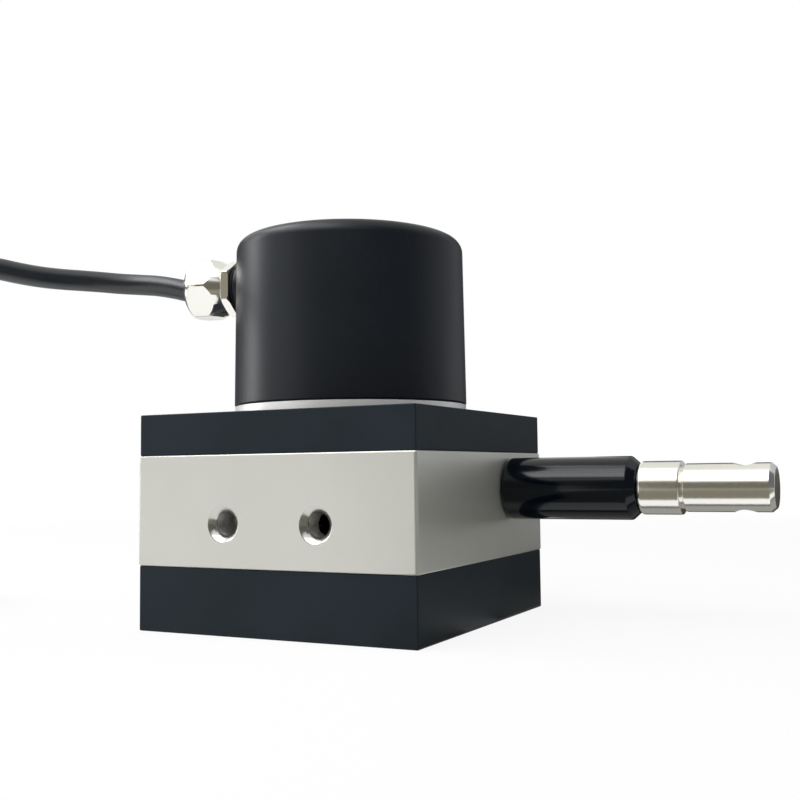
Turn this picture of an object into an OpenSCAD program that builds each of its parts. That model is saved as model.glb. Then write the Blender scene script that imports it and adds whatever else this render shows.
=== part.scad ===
// Draw wire encoder. A spring-driven drum sits in a square three-layer body, a round optical
// encoder stands on top of it, the wire leaves through an outlet tube on one side, and the
// signal cable leaves the encoder through a gland.
// Millimetres. Z is up, X runs along the draw wire, the origin is the middle of the base face.

/* [Body] */
// Side of the square aluminium housing
body_w = 60; // [60:0.5:64]
// Height of the spring cover at the bottom
cover_h = 12.3; // [12:0.1:14]
// Height of the aluminium housing
housing_h = 20.9; // [20.6:0.1:23]
// Height of the upper plate
plate_h = 7.9; // [7.9:0.1:10]
// How far the two black layers stand back from the housing's faces
plate_inset = 0.2; // [0:0.05:0.6]
// Rounding of the housing's upright edges
housing_edge_r = 0.6; // [0.3:0.1:2]
// Rounding of the black layers' upright edges
layer_edge_r = 0.3; // [0.2:0.1:1]
// Distance of the corner screws from the middle, along X and along Y
screw_offset = 24.6; // [24.2:0.1:25]

/* [Mounting holes] */
// Distance between the two threaded holes in the front face
mount_pitch = 20; // [16:1:22]
// Height of the threaded holes above the base
mount_z = 20.4; // [20:0.1:24]
// Core diameter of the M5 thread
mount_core_d = 4.3; // [4.2:0.1:4.6]
// Width of the countersink at each hole's mouth
mount_mouth_d = 7; // [5:0.1:7.4]

/* [Encoder] */
// Diameter of the cap at its lower rim
cap_d = 47.5; // [47.4:0.1:48.4]
// Diameter of the cap below its top rounding
cap_top_d = 46.7; // [46.4:0.1:47.2]
// Height of the cap
cap_h = 34.3; // [33.2:0.1:36]
// Rounding of the cap's upper rim
cap_rim_r = 2.8; // [1:0.1:3]
// Height of the bare flange edge under the cap
flange_edge_h = 2; // [1.4:0.1:2.4]
// Direction of the cable gland, seen from above, from +X
gland_angle = 193; // [185:1:200]
// Height of the gland's axis above the cap's lower rim
gland_rise = 25.9; // [25.8:0.1:26.6]

/* [Wire outlet] */
// Sideways place of the wire's axis, which is the winding radius of the drum
wire_y = 12.2; // [11.8:0.1:12.4]
// Height of the wire's axis in the outlet tube
wire_z = 25.9; // [25.4:0.1:26.6]
// Diameter of the stranded wire
wire_d = 0.8; // [0.6:0.1:0.8]
// Diameter of the outlet tube
tube_d = 12.3; // [11.4:0.1:13]
// Length of the outlet tube outside the housing
tube_l = 26.9; // [24:0.1:32]

/* [End fitting] */
// Diameter of the collar next to the tube
collar_d = 10.2; // [9.6:0.1:11]
// Length of the collar
collar_l = 8.1; // [7.8:0.1:10]
// Diameter of the eye end
eye_d = 9.1; // [8:0.1:9.4]
// Length of the eye end
eye_l = 16.7; // [14:0.1:20]
// Diameter of the cross hole
eye_hole_d = 4.2; // [3:0.1:5]
// Distance of the cross hole from the free end
eye_hole_in = 5.6; // [4.6:0.1:7]

/* [Cable] */
// Outer diameter of the signal cable
cable_d = 4.5; // [4:0.1:4.6]

/* [Hidden] */
$fn = 64;

// Small amounts
eps = 0.01;
play = 0.05;
edge_cut = 0.3;

// Levels, from the bottom up
plate_w = body_w - 2 * plate_inset;
cover_floor = 2.5;
housing_z = cover_h;
plate_z = housing_z + housing_h;
flange_z = plate_z + plate_h;
cap_z = flange_z + flange_edge_h;
cap_top_z = cap_z + cap_h;

// Chambers
spring_room_r = 25;
drum_room_w = 50;
drum_room_r = 29;
housing_floor = 5;
drum_room_z = housing_z + housing_floor;

// Ball bearing, 6 x 12 x 4, and the lip behind it
shaft_r = 3;
bearing_r = 6;
bearing_h = 4;
race_r = 4.5;
ball_r = 0.78;
race_gap = 0.6;
race_play = 0.03;
ball_count = 7;
pocket_play = 0.04;
cage_r = 0.3;
cage_h = 2;
lip_r = bearing_r - 0.8;
lower_bearing_z = drum_room_z - bearing_h;
upper_bearing_z = plate_z;
encoder_bearing_z = [flange_z + 5.2, flange_z + 11.4];

// Drum and its shaft
drum_gap = 0.7;
drum_z = drum_room_z + drum_gap;
drum_top_z = plate_z - 0.6;
drum_flange_h = 1.1;
drum_lip_h = 0.6;
drum_wall = 2;
drum_web_h = 2.5;
drum_flange_r = wire_y + 2.1;
winding_steps = 24;
barrel_r = wire_y * cos(180 / winding_steps) - wire_d / 2 - play;
hub_r = 5.5;
pin_r = 1;
pin_l = 10;
pin_z = (drum_z + drum_top_z) / 2;
shaft_z = cover_floor + 0.8;
shaft_top_z = flange_z + 0.2;
winding_z = drum_z + drum_flange_h + wire_d / 2 + play;
winding_turns = 13.5;
winding_pitch = (drum_top_z - drum_z - 2 * drum_flange_h - wire_d - 2 * play) / winding_turns;
winding_top_z = winding_z + winding_turns * winding_pitch;

// Power spring and its arbor
spring_z = cover_floor + 1.8;
spring_w = 6.4;
spring_t = 0.25;
spring_turns = 8;
spring_in_r = 5.6;
spring_out_r = 22.6;
arbor_r = 5;
arbor_z = cover_floor + 1;
arbor_h = 7.8;
arbor_slot_w = 0.4;
arbor_screw_z = arbor_z + 2;
anchor_r = 1;
anchor_z = 1.2;
anchor_x = spring_out_r + anchor_r + 0.2;
cover_seal_r = spring_room_r + 2;
seal_groove_r = 0.7;

// Screws
m3_core_r = 1.25;
m3_free_r = 1.7;
m3_head_r = 2.9;
m3_head_h = 1.7;
corner_screw_l = 18;
plate_screw_l = plate_h + 7;
socket_width = 0.42;
socket_depth = 0.7;
flange_screw_ring = 14;
flange_screw_angles = [80, 200, 320];
flange_head_r = 2.75;
flange_head_h = 2.4;
flange_socket_r = 1.4;
flange_recess_h = 3;
m2_shank_r = 0.85;
m2_core_r = 0.9;
m2_free_r = 1.35;
m2_head_r = 2.2;
m2_head_h = 1.2;
cap_screw_l = 6;

// Encoder
cap_wall = 2.4;
cap_room_r = cap_d / 2 - cap_wall;
cap_roof = 2.4;
flange_r = cap_d / 2 - 0.1;
spigot_r = cap_room_r - play;
spigot_top_z = flange_z + 5.2;
seal_groove_z = flange_z + 2.6;
seal_groove_h = 1.4;
flange_base_h = 4.4;
neck_r = 9;
hub_top_z = encoder_bearing_z[1] + bearing_h;
coupling_z = shaft_top_z - 3.2;
coupling_top_z = shaft_top_z + 3.4;
coupling_r = 5.5;
coupling_room_r = 8;
coupling_screw_z = [coupling_z + 1.6, coupling_top_z - 1.6];
encoder_shaft_z = shaft_top_z + 0.2;
disc_z = hub_top_z + 3;
disc_r = 15;
disc_t = 0.8;
disc_bore_r = 4.4;
disc_hub_r = 6;
disc_hub_h = 2.4;
disc_seat_h = 2;
reader_gap = 0.6;
reader_angle = gland_angle + 120;
lamp_w = 6;
lamp_bore_r = 1.6;
board_z = disc_z + 5;
board_t = 1.6;
board_r = 20.4;
pillar_ring = 18;
pillar_r = 1.8;
pillar_foot_r = 1;
pillar_stud_r = 1.2;
pillar_angles = [gland_angle + 60, gland_angle + 180, gland_angle + 300];
seal_r = 0.65;
seal_squeeze = 0.05;
terminal_x = 7.4;
terminal_w = 5;
terminal_l = 10.4;
terminal_h = 5;
chips = [[-12, -3.5, 7, 7, 1.4], [-2, 4.5, 5, 4, 1.2], [-3, -9.5, 6, 4, 1.2]];

// Gland, along its own axis from the middle of the encoder
gland_z = cap_z + gland_rise;
boss_r = 4.9;
boss_in = 20.6;
boss_face = 24.6;
gland_thread_r = 4;
washer_h = 0.6;
hex_in = boss_face + washer_h;
hex_af = 10.4;
hex_h = 1.7;
hex_turned_h = 0.3;
gland_bore_r = 3.2;
nut_in = hex_in + hex_h;
nut_l = 9.1;
nut_af = 12;
nut_corner_r = nut_af / 2 / cos(30);
nut_root_r = hex_af / 2 - 0.1;
nut_root_l = 3.4;
nut_dome_l = 3.9;
nut_mouth_r = 2.8;
cable_r = cable_d / 2;
cable_hole_r = cable_r + 0.15;

// Outlet tube and what is in it, along X
tube_x = body_w / 2;
tube_end = tube_x + tube_l;
tube_r = tube_d / 2;
tube_bore_r = 3;
tube_spigot_r = 4.4;
tube_spigot_l = 5.2;
tube_chamfer = 1.4;
tube_seal_r = 0.45;
seal_room_w = 1.1;
wire_r = wire_d / 2;
buffer_r = 4.2;
buffer_l = 6;
buffer_x = tube_end - buffer_l;
wiper_x = tube_x + 8;
wiper_l = 8;
guide_x = tube_x - tube_spigot_l;
guide_flange_l = 1.6;
guide_l = 4;
guide_rim_r = 3.2;
guide_mouth_r = 2.2;
guide_play = 0.25;

// End fitting, along X
fitting_x = tube_end + play;
collar_end = fitting_x + collar_l;
eye_end_x = collar_end + 0.2 + eye_l;
eye_hole_x = eye_end_x - eye_hole_in;
neck_w = 0.5;
ferrule_x = fitting_x + 2;
ferrule_l = 3;
ferrule_r = 2.2;
fitting_bore_r = 3;
fitting_wall = 1.6;
fitting_hole_r = wire_r + 0.3;
collar_rim_r = 0.8;
collar_cut = 0.4;
eye_cut = 0.7;

// Cable route outside the gland, chosen by hand: a rising bend, then the arch down to the coil
cable_start = 17.5;
cable_route = [
    [-38.5, -9, 69.8], [-42.5, -10, 70.6], [-46.5, -11.5, 71], [-50, -13.8, 71.2],
    [-53, -16.7, 71.4], [-55.5, -20.2, 71.4], [-57.5, -24, 71.3], [-59.1, -28, 71.3],
    [-60.5, -32.2, 71.5], [-61.8, -36.6, 71.8], [-63.4, -41, 71.6], [-65.7, -45.1, 70.9],
    [-68.7, -48.8, 69.4], [-72.3, -51.9, 66.8], [-76.4, -54.2, 63.1], [-80.7, -55.8, 58.5],
    [-85.1, -56.8, 53.2], [-89.5, -57.3, 47.6], [-93.9, -57.7, 41.8], [-98.4, -57.7, 35.9],
    [-102.9, -57.6, 30], [-107.5, -57.2, 24.5], [-112.5, -56.4, 19.6], [-118, -55, 15.6],
    [-122.7, -53.6, 13.2]
];
// Coil of two turns side by side in three layers, and the tail that leaves it
coil_x = -116;
coil_y = -33;
coil_z = 0.7;
turn_pitch = 4.6;
turn_in_r = 21.8;
turn_out_r = turn_in_r + turn_pitch;
coil_in_r = turn_in_r - cable_r;
coil_out_r = turn_out_r + cable_r;
coil_h = 2 * turn_pitch + cable_d;
coil_round = 2.2;
tail_r = turn_out_r;
tail_l = 22;
tail_z = coil_z + cable_r;
core_r = 0.45;
core_pitch = 2.4;
lead_l = 20;
lead_pitch = 1;
lead_spread = 3;
tie_w = 4.5;
tie_t = 0.5;
tie_gap = 0.1;
tie_cut = 1;
tie_angles = [45, 225];

// ---- Shapes that repeat ----

// Corner points of a square of side w whose corners are rounded with radius r
function rounded_square(w, r, steps = 6) = [
    for (q = [0:3], i = [0:steps])
        let (turn = 90 * q, a = turn + 90 * i / steps, m = w / 2 - r)
            [m * sign(cos(turn + 45)) + r * cos(a), m * sign(sin(turn + 45)) + r * sin(a)]
];

// Points of an arc about [x, y]
function arc(x, y, r, from, to, steps = 6) = [
    for (i = [0:steps]) let (a = from + (to - from) * i / steps) [x + r * cos(a), y + r * sin(a)]
];

function unit(v) = v / norm(v);

// Direction of a path at one of its points
function heading(path, i) = unit(path[min(i + 1, len(path) - 1)] - path[max(i - 1, 0)]);

// Ring of points round a path's point, square to its heading
function ring(path, i, r, sides) =
    let (
        along = heading(path, i),
        side = unit(cross(along, abs(along[2]) > 0.9 ? [1, 0, 0] : [0, 0, 1])),
        up = cross(side, along)
    )
    [for (k = [0:sides - 1]) path[i] + r * (cos(360 * k / sides) * side + sin(360 * k / sides) * up)];

// Round tube along a path, closed at both ends
module tube_along(path, r, sides = 8) {
    rings = len(path);
    points = [for (i = [0:rings - 1]) each ring(path, i, r, sides)];
    walls = [
        for (i = [0:rings - 2], k = [0:sides - 1])
            let (a = i * sides + k, b = i * sides + (k + 1) % sides)
                each [[a, b, b + sides], [a, b + sides, a + sides]]
    ];
    first = [for (k = [sides - 1:-1:0]) k];
    last = [for (k = [0:sides - 1]) (rings - 1) * sides + k];
    polyhedron(points, concat(walls, [first, last]), convexity = 10);
}

// Plate with rounded upright edges and a fine cut along its upper and lower edges
module edged_block(w, h, r) {
    difference() {
        linear_extrude(h) polygon(rounded_square(w, r));
        for (a = [0:90:270], z = [0, h])
            rotate(a) translate([w / 2, 0, z]) rotate([0, 45, 0])
                cube([edge_cut * sqrt(2), w + 2, edge_cut * sqrt(2)], center = true);
    }
}

module at_corners() {
    for (sx = [-1, 1], sy = [-1, 1]) translate([sx * screw_offset, sy * screw_offset, 0]) children();
}

// Children at each angle on a circle of radius r
module on_ring(r, angles) {
    for (a = angles) rotate(a) translate([r, 0, 0]) children();
}

// Children turned so that their Z lies along the wire, with X as their height
module along_wire(x) {
    translate([x, wire_y, wire_z]) rotate([0, 90, 0]) children();
}

// Children turned so that their Z lies along the gland
module along_gland(r) {
    rotate(gland_angle) translate([r, 0, gland_z]) rotate([0, 90, 0]) children();
}

// Ring of rectangular section
module washer(outer, inner, h) {
    difference() {
        cylinder(r = outer, h = h);
        translate([0, 0, -1]) cylinder(r = inner, h = h + 2);
    }
}

// Countersunk screw with its flat head face at z = 0 and its shank pointing down
module countersunk_screw(r, l, head_r, head_h) {
    difference() {
        union() {
            translate([0, 0, -l]) cylinder(r = r, h = l - head_h + eps);
            translate([0, 0, -head_h]) cylinder(r1 = r, r2 = head_r, h = head_h);
        }
        translate([0, 0, -head_h * socket_depth])
            cylinder(r = head_r * socket_width, h = head_h, $fn = 6);
    }
}

// The hole that a countersunk screw sits in, from z = 0 down
module countersink(r, depth, head_r, head_h) {
    translate([0, 0, -depth - 1]) cylinder(r = r, h = depth + 2);
    translate([0, 0, -head_h - play]) cylinder(r1 = r, r2 = head_r + 0.2, h = head_h + 0.2);
}

// Grub screw with a hexagon socket at its outer end, along Z
module grub_screw(r, l) {
    difference() {
        cylinder(r = r, h = l);
        translate([0, 0, l - 1]) cylinder(r = r * 0.5, h = 2, $fn = 6);
    }
}

module bearing_outer_ring() {
    rotate_extrude() difference() {
        translate([race_r + race_gap, 0]) square([bearing_r - race_r - race_gap, bearing_h]);
        translate([race_r, bearing_h / 2]) circle(r = ball_r + race_play);
    }
}

module bearing_inner_ring() {
    rotate_extrude() difference() {
        translate([shaft_r, 0]) square([race_r - race_gap - shaft_r, bearing_h]);
        translate([race_r, bearing_h / 2]) circle(r = ball_r + race_play);
    }
}

// The balls and the cage that spaces them
module bearing_balls() {
    for (i = [0:ball_count - 1]) rotate(i * 360 / ball_count) translate([race_r, 0, bearing_h / 2])
        sphere(r = ball_r);
    difference() {
        translate([0, 0, (bearing_h - cage_h) / 2]) washer(race_r + cage_r, race_r - cage_r, cage_h);
        for (i = [0:ball_count - 1]) rotate(i * 360 / ball_count)
            translate([race_r, 0, bearing_h / 2]) rotate([0, 90, 0])
                cylinder(r = ball_r + pocket_play, h = 3, center = true);
    }
}

// ---- Spring cover and power spring ----

module spring_cover() color("#1b1d22") difference() {
    edged_block(plate_w, cover_h, layer_edge_r);
    translate([0, 0, cover_floor]) cylinder(r = spring_room_r, h = cover_h);
    translate([0, 0, cover_h - 2 * seal_r]) 
        washer(cover_seal_r + seal_groove_r, cover_seal_r - seal_groove_r, 3);
    at_corners() rotate([180, 0, 0]) countersink(m3_free_r, cover_h, m3_head_r, m3_head_h);
    translate([anchor_x, 0, anchor_z]) cylinder(r = anchor_r, h = 3);
}

module cover_screws() color("silver") at_corners() translate([0, 0, 0.1]) rotate([180, 0, 0])
    countersunk_screw(m3_core_r - play, corner_screw_l, m3_head_r, m3_head_h);

module cover_seal() color("#111111") translate([0, 0, cover_h - seal_r]) rotate_extrude()
    translate([cover_seal_r, 0]) circle(r = seal_r - play / 2);

// Flat spiral, with its outer end beside the anchor pin and its inner end beside the arbor
module power_spring() {
    steps = 24 * spring_turns;
    function coil_at(i, side) =
        let (a = 360 * spring_turns * i / steps,
            r = spring_in_r + (spring_out_r - spring_in_r) * i / steps + side * spring_t / 2)
        [r * cos(a), r * sin(a)];
    color("#4a5568") translate([0, 0, spring_z]) linear_extrude(spring_w) polygon(concat(
        [for (i = [0:steps]) coil_at(i, 1)], [for (i = [steps:-1:0]) coil_at(i, -1)]));
}

module spring_anchor_pin() color("silver") translate([anchor_x, 0, anchor_z])
    cylinder(r = anchor_r, h = cover_h - 2);

module spring_arbor() color("#c9a24b") difference() {
    translate([0, 0, arbor_z]) washer(arbor_r, shaft_r, arbor_h);
    translate([shaft_r + 1, -arbor_slot_w / 2, arbor_z + 0.8]) cube([3, arbor_slot_w, arbor_h]);
    translate([0, 0, arbor_screw_z]) rotate([0, -90, 0]) cylinder(r = m3_core_r, h = arbor_r + 1);
}

module arbor_set_screw() color("#30343a") translate([-shaft_r, 0, arbor_screw_z])
    rotate([0, -90, 0]) grub_screw(m3_core_r, arbor_r - shaft_r - 0.2);

// ---- Housing ----

// Tapped hole in the front wall, with a countersunk mouth, at x and of a given depth
module mount_hole(x, depth) translate([x, -body_w / 2, mount_z]) rotate([-90, 0, 0]) {
    translate([0, 0, -1]) cylinder(d = mount_core_d, h = depth + 1);
    translate([0, 0, -eps])
        cylinder(d1 = mount_mouth_d, d2 = mount_core_d, h = (mount_mouth_d - mount_core_d) / 2);
}

// The drum's chamber: a square with its corners cut back to leave the screws their metal
module drum_room() intersection() {
    translate([-drum_room_w / 2, -drum_room_w / 2, drum_room_z])
        cube([drum_room_w, drum_room_w, housing_h]);
    translate([0, 0, drum_room_z]) cylinder(r = drum_room_r, h = housing_h);
}

module housing() color("#b9b9b0") difference() {
    union() {
        difference() {
            translate([0, 0, housing_z]) edged_block(body_w, housing_h, housing_edge_r);
            drum_room();
        }
        translate([-mount_pitch / 2 - 4, -drum_room_w / 2 - 1, drum_room_z - 1])
            cube([8, 5, mount_z - drum_room_z + 5]);
    }
    translate([0, 0, lower_bearing_z]) cylinder(r = bearing_r, h = bearing_h + 1);
    translate([0, 0, housing_z - 1]) cylinder(r = lip_r, h = bearing_h);
    mount_hole(-mount_pitch / 2, 7);
    mount_hole(mount_pitch / 2, 8);
    at_corners() {
        translate([0, 0, housing_z - 1]) cylinder(r = m3_core_r, h = 8);
        translate([0, 0, plate_z - 8]) cylinder(r = m3_core_r, h = 9);
    }
    along_wire(tube_x - tube_spigot_l - 3) cylinder(r = tube_spigot_r, h = tube_spigot_l + 4);
}

// ---- Drum and shaft ----

module lower_bearing_outer_ring() color("silver") translate([0, 0, lower_bearing_z])
    bearing_outer_ring();

module lower_bearing_inner_ring() color("silver") translate([0, 0, lower_bearing_z])
    bearing_inner_ring();

module lower_bearing_balls() color("gray") translate([0, 0, lower_bearing_z]) bearing_balls();

module lower_spacer() color("#c9a24b") translate([0, 0, drum_room_z])
    washer(race_r - race_gap, shaft_r, drum_gap);

module drum() color("#d8d8d2") difference() {
    rotate_extrude() polygon([
        [shaft_r, drum_z], [drum_flange_r, drum_z], [drum_flange_r, drum_z + drum_lip_h],
        [barrel_r, drum_z + drum_flange_h], [barrel_r, drum_top_z - drum_flange_h],
        [drum_flange_r, drum_top_z - drum_lip_h], [drum_flange_r, drum_top_z],
        [barrel_r - drum_wall, drum_top_z], [barrel_r - drum_wall, drum_z + drum_web_h],
        [hub_r, drum_z + drum_web_h], [hub_r, drum_top_z], [shaft_r, drum_top_z]
    ]);
    translate([0, 0, pin_z]) rotate([0, 90, 0]) cylinder(r = pin_r, h = pin_l, center = true);
}

module drum_pin() color("gray") translate([0, 0, pin_z]) rotate([0, 90, 0])
    cylinder(r = pin_r, h = pin_l, center = true);

module drum_shaft() color("silver") difference() {
    translate([0, 0, shaft_z]) cylinder(r = shaft_r, h = shaft_top_z - shaft_z);
    translate([0, 0, pin_z]) rotate([0, 90, 0]) cylinder(r = pin_r, h = pin_l, center = true);
}

// The turns on the drum climb from its lower flange and stop where the free wire leaves
module wound_wire() {
    steps = winding_steps * winding_turns;
    path = [
        for (i = [0:steps])
            let (share = i / steps, a = 90 + 360 * winding_turns * (1 - share))
                [wire_y * cos(a), wire_y * sin(a), winding_z + winding_pitch * winding_turns * share]
    ];
    color("silver") tube_along(path, wire_r, 6);
}

module upper_spacer() color("#c9a24b") translate([0, 0, drum_top_z])
    washer(race_r - race_gap, shaft_r, plate_z - drum_top_z);

module upper_bearing_outer_ring() color("silver") translate([0, 0, upper_bearing_z])
    bearing_outer_ring();

module upper_bearing_inner_ring() color("silver") translate([0, 0, upper_bearing_z])
    bearing_inner_ring();

module upper_bearing_balls() color("gray") translate([0, 0, upper_bearing_z]) bearing_balls();

// ---- Upper plate ----

module top_plate() color("#1b1d22") difference() {
    translate([0, 0, plate_z]) edged_block(plate_w, plate_h, layer_edge_r);
    translate([0, 0, plate_z - 1]) cylinder(r = bearing_r, h = bearing_h + 1);
    translate([0, 0, plate_z]) cylinder(r = lip_r, h = plate_h);
    translate([0, 0, upper_bearing_z + bearing_h + 0.8]) cylinder(r = coupling_room_r, h = plate_h);
    at_corners() translate([0, 0, flange_z])
        countersink(m3_free_r, plate_h, m3_head_r, m3_head_h);
    on_ring(flange_screw_ring, flange_screw_angles) {
        translate([0, 0, plate_z - 1]) cylinder(r = m3_free_r, h = plate_h + 2);
        translate([0, 0, plate_z - 1]) cylinder(r = m3_head_r + 0.2, h = flange_recess_h + 1);
    }
}

module plate_screws() color("silver") at_corners() translate([0, 0, flange_z - 0.1])
    countersunk_screw(m3_core_r - play, plate_screw_l, m3_head_r, m3_head_h);

module flange_screws() color("silver") on_ring(flange_screw_ring, flange_screw_angles)
    translate([0, 0, plate_z + flange_recess_h]) difference() {
        union() {
            translate([0, 0, -flange_head_h]) cylinder(r = flange_head_r, h = flange_head_h);
            translate([0, 0, -eps]) cylinder(r = m3_core_r - play, h = plate_h);
        }
        translate([0, 0, -flange_recess_h]) cylinder(r = flange_socket_r, h = 1.8, $fn = 6);
    }

// ---- Encoder mechanics ----

module encoder_flange() color("#c6c6be") difference() {
    rotate_extrude() polygon([
        [coupling_room_r, flange_z], [flange_r - 0.2, flange_z], [flange_r, flange_z + 0.2],
        [flange_r, cap_z - 0.1], [spigot_r, cap_z - 0.1], [spigot_r, seal_groove_z],
        [spigot_r - 2 * seal_r, seal_groove_z],
        [spigot_r - 2 * seal_r, seal_groove_z + seal_groove_h],
        [spigot_r, seal_groove_z + seal_groove_h], [spigot_r, spigot_top_z],
        [neck_r + 1, spigot_top_z], [neck_r, spigot_top_z + 1], [neck_r, hub_top_z],
        [bearing_r, hub_top_z], [bearing_r, encoder_bearing_z[1]], [lip_r, encoder_bearing_z[1]],
        [lip_r, encoder_bearing_z[0] + bearing_h], [bearing_r, encoder_bearing_z[0] + bearing_h],
        [bearing_r, flange_z + flange_base_h], [coupling_room_r, flange_z + flange_base_h]
    ]);
    on_ring(flange_screw_ring, flange_screw_angles) translate([0, 0, flange_z - 1])
        cylinder(r = m3_core_r, h = 5);
    on_ring(pillar_ring, pillar_angles) translate([0, 0, spigot_top_z - 2])
        cylinder(r = pillar_foot_r, h = 3);
}

module encoder_bearing_outer_rings() color("silver") for (z = encoder_bearing_z)
    translate([0, 0, z]) bearing_outer_ring();

module encoder_bearing_inner_rings() color("silver") for (z = encoder_bearing_z)
    translate([0, 0, z]) bearing_inner_ring();

module encoder_bearing_balls() color("gray") for (z = encoder_bearing_z)
    translate([0, 0, z]) bearing_balls();

module encoder_shaft() color("silver") translate([0, 0, encoder_shaft_z])
    cylinder(r = shaft_r, h = disc_z + disc_seat_h + 0.6 - encoder_shaft_z);

module shaft_coupling() color("#8a8f98") difference() {
    translate([0, 0, coupling_z]) washer(coupling_r, shaft_r, coupling_top_z - coupling_z);
    for (z = coupling_screw_z) translate([0, 0, z]) rotate([90, 0, 0])
        cylinder(r = m3_core_r, h = coupling_r + 1);
}

module coupling_set_screws() color("#30343a") for (z = coupling_screw_z)
    translate([0, -shaft_r, z]) rotate([90, 0, 0])
        grub_screw(m3_core_r, coupling_r - shaft_r - 0.2);

module disc_hub() color("#c9a24b") rotate_extrude() polygon([
    [shaft_r, disc_z - disc_hub_h], [disc_hub_r, disc_z - disc_hub_h], [disc_hub_r, disc_z],
    [disc_bore_r, disc_z], [disc_bore_r, disc_z + disc_seat_h], [shaft_r, disc_z + disc_seat_h]
]);

module code_disc() color("#9fb6c4") translate([0, 0, disc_z])
    washer(disc_r, disc_bore_r, disc_t);

// ---- Encoder electronics ----

// Block under the code disc, with the bore that its light comes out of
module light_source() color("#2b2b2b") rotate(reader_angle)
    translate([neck_r + 1.2, -lamp_w / 2, spigot_top_z]) difference() {
        cube([lamp_w + 0.4, lamp_w, disc_z - spigot_top_z - reader_gap]);
        translate([lamp_w / 2 + 0.2, lamp_w / 2, disc_z - spigot_top_z - reader_gap - 1])
            cylinder(r = lamp_bore_r, h = 2);
    }

module photo_detector() color("#2b2b2b") rotate(reader_angle)
    translate([neck_r + 0.2, -lamp_w / 2 - 1, disc_z + disc_t + reader_gap])
        cube([lamp_w + 1, lamp_w + 2, board_z - disc_z - disc_t - reader_gap]);

module lower_pillars() color("#c9a24b") on_ring(pillar_ring, pillar_angles) {
    translate([0, 0, spigot_top_z]) difference() {
        cylinder(r = pillar_r, h = board_z - spigot_top_z);
        translate([0, 0, board_z - spigot_top_z - 3]) cylinder(r = pillar_stud_r + play, h = 4);
    }
    translate([0, 0, spigot_top_z - 1.8]) cylinder(r = pillar_foot_r - play, h = 2);
}

module encoder_board() color("#1f6b3a") difference() {
    translate([0, 0, board_z]) cylinder(r = board_r, h = board_t);
    on_ring(pillar_ring, pillar_angles) translate([0, 0, board_z - 1])
        cylinder(r = pillar_stud_r + 2 * play, h = 4);
}

// Chips, a row of resistors and a row of capacitors
module board_chips() color("#26262a") translate([0, 0, board_z + board_t]) rotate(gland_angle) {
    for (c = chips) translate([c[0], c[1], 0]) cube([c[2], c[3], c[4]]);
    for (i = [0:3]) translate([4 - 3.2 * i, 12 - i, 0]) cube([2, 1.2, 1]);
    for (i = [0:2]) translate([3 - 4 * i, -14, 0]) cylinder(r = 1.5, h = 3.4);
}

module terminal_block() color("#e8e4d8") translate([0, 0, board_z + board_t]) rotate(gland_angle)
    difference() {
        translate([terminal_x, -terminal_l / 2, 0]) cube([terminal_w, terminal_l, terminal_h]);
        for (i = [-1.5:1.5]) translate([terminal_x + terminal_w - 1, i * core_pitch, 0]) {
            translate([0, 0, gland_z - board_z - board_t]) rotate([0, 90, 0])
                cylinder(r = core_r + 0.35, h = 2);
            translate([-1.5, 0, terminal_h - 0.8]) cylinder(r = 0.8, h = 2);
        }
    }

// Stripped cores from the cable's end, spreading to the terminals
module core_leads() color("#b03030") rotate(gland_angle) for (i = [-1.5:1.5]) {
    from = [terminal_x + terminal_w - 0.9, i * core_pitch];
    to = [cable_start, i * lead_pitch];
    run = to - from;
    translate([from[0], from[1], gland_z]) rotate([0, 90, atan2(run[1], run[0])])
        cylinder(r = core_r, h = norm(run) - 0.2);
}

module upper_pillars() color("#c9a24b") on_ring(pillar_ring, pillar_angles) difference() {
    union() {
        translate([0, 0, board_z + board_t])
            cylinder(r = pillar_r, h = cap_top_z - cap_roof - board_z - board_t);
        translate([0, 0, board_z - 2]) cylinder(r = pillar_stud_r, h = 4);
    }
    translate([0, 0, cap_top_z - cap_roof - 4]) cylinder(r = m2_core_r, h = 5);
}

// ---- Encoder cap ----

// Half section of the cap: sides that lean in slightly and a rounded upper rim
function cap_outline() = concat(
    [[cap_room_r, cap_z], [cap_d / 2 - edge_cut, cap_z], [cap_d / 2, cap_z + edge_cut]],
    arc(cap_top_d / 2 - cap_rim_r, cap_top_z - cap_rim_r, cap_rim_r, 0, 90, 8),
    [[0, cap_top_z], [0, cap_top_z - cap_roof], [cap_room_r - 1, cap_top_z - cap_roof],
        [cap_room_r, cap_top_z - cap_roof - 1]]
);

module encoder_cap() color("#17191d") difference() {
    union() {
        rotate_extrude() polygon(cap_outline());
        along_gland(boss_in) cylinder(r = boss_r, h = boss_face - boss_in);
    }
    along_gland(boss_in - 1) cylinder(r = gland_thread_r, h = boss_face - boss_in + 2);
    on_ring(pillar_ring, pillar_angles) translate([0, 0, cap_top_z])
        countersink(m2_free_r, cap_roof, m2_head_r, m2_head_h);
}

module cap_seal() color("#111111") translate([0, 0, seal_groove_z + seal_groove_h / 2]) rotate_extrude()
    translate([spigot_r - seal_r, 0]) circle(r = seal_r - seal_squeeze);

module cap_screws() color("silver") on_ring(pillar_ring, pillar_angles)
    translate([0, 0, cap_top_z - 0.1])
        countersunk_screw(m2_shank_r, cap_screw_l, m2_head_r, m2_head_h);

// ---- Cable gland ----

module gland_washer() color("#0d0d0d") along_gland(boss_face)
    washer(boss_r - 0.1, gland_thread_r, washer_h);

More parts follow.
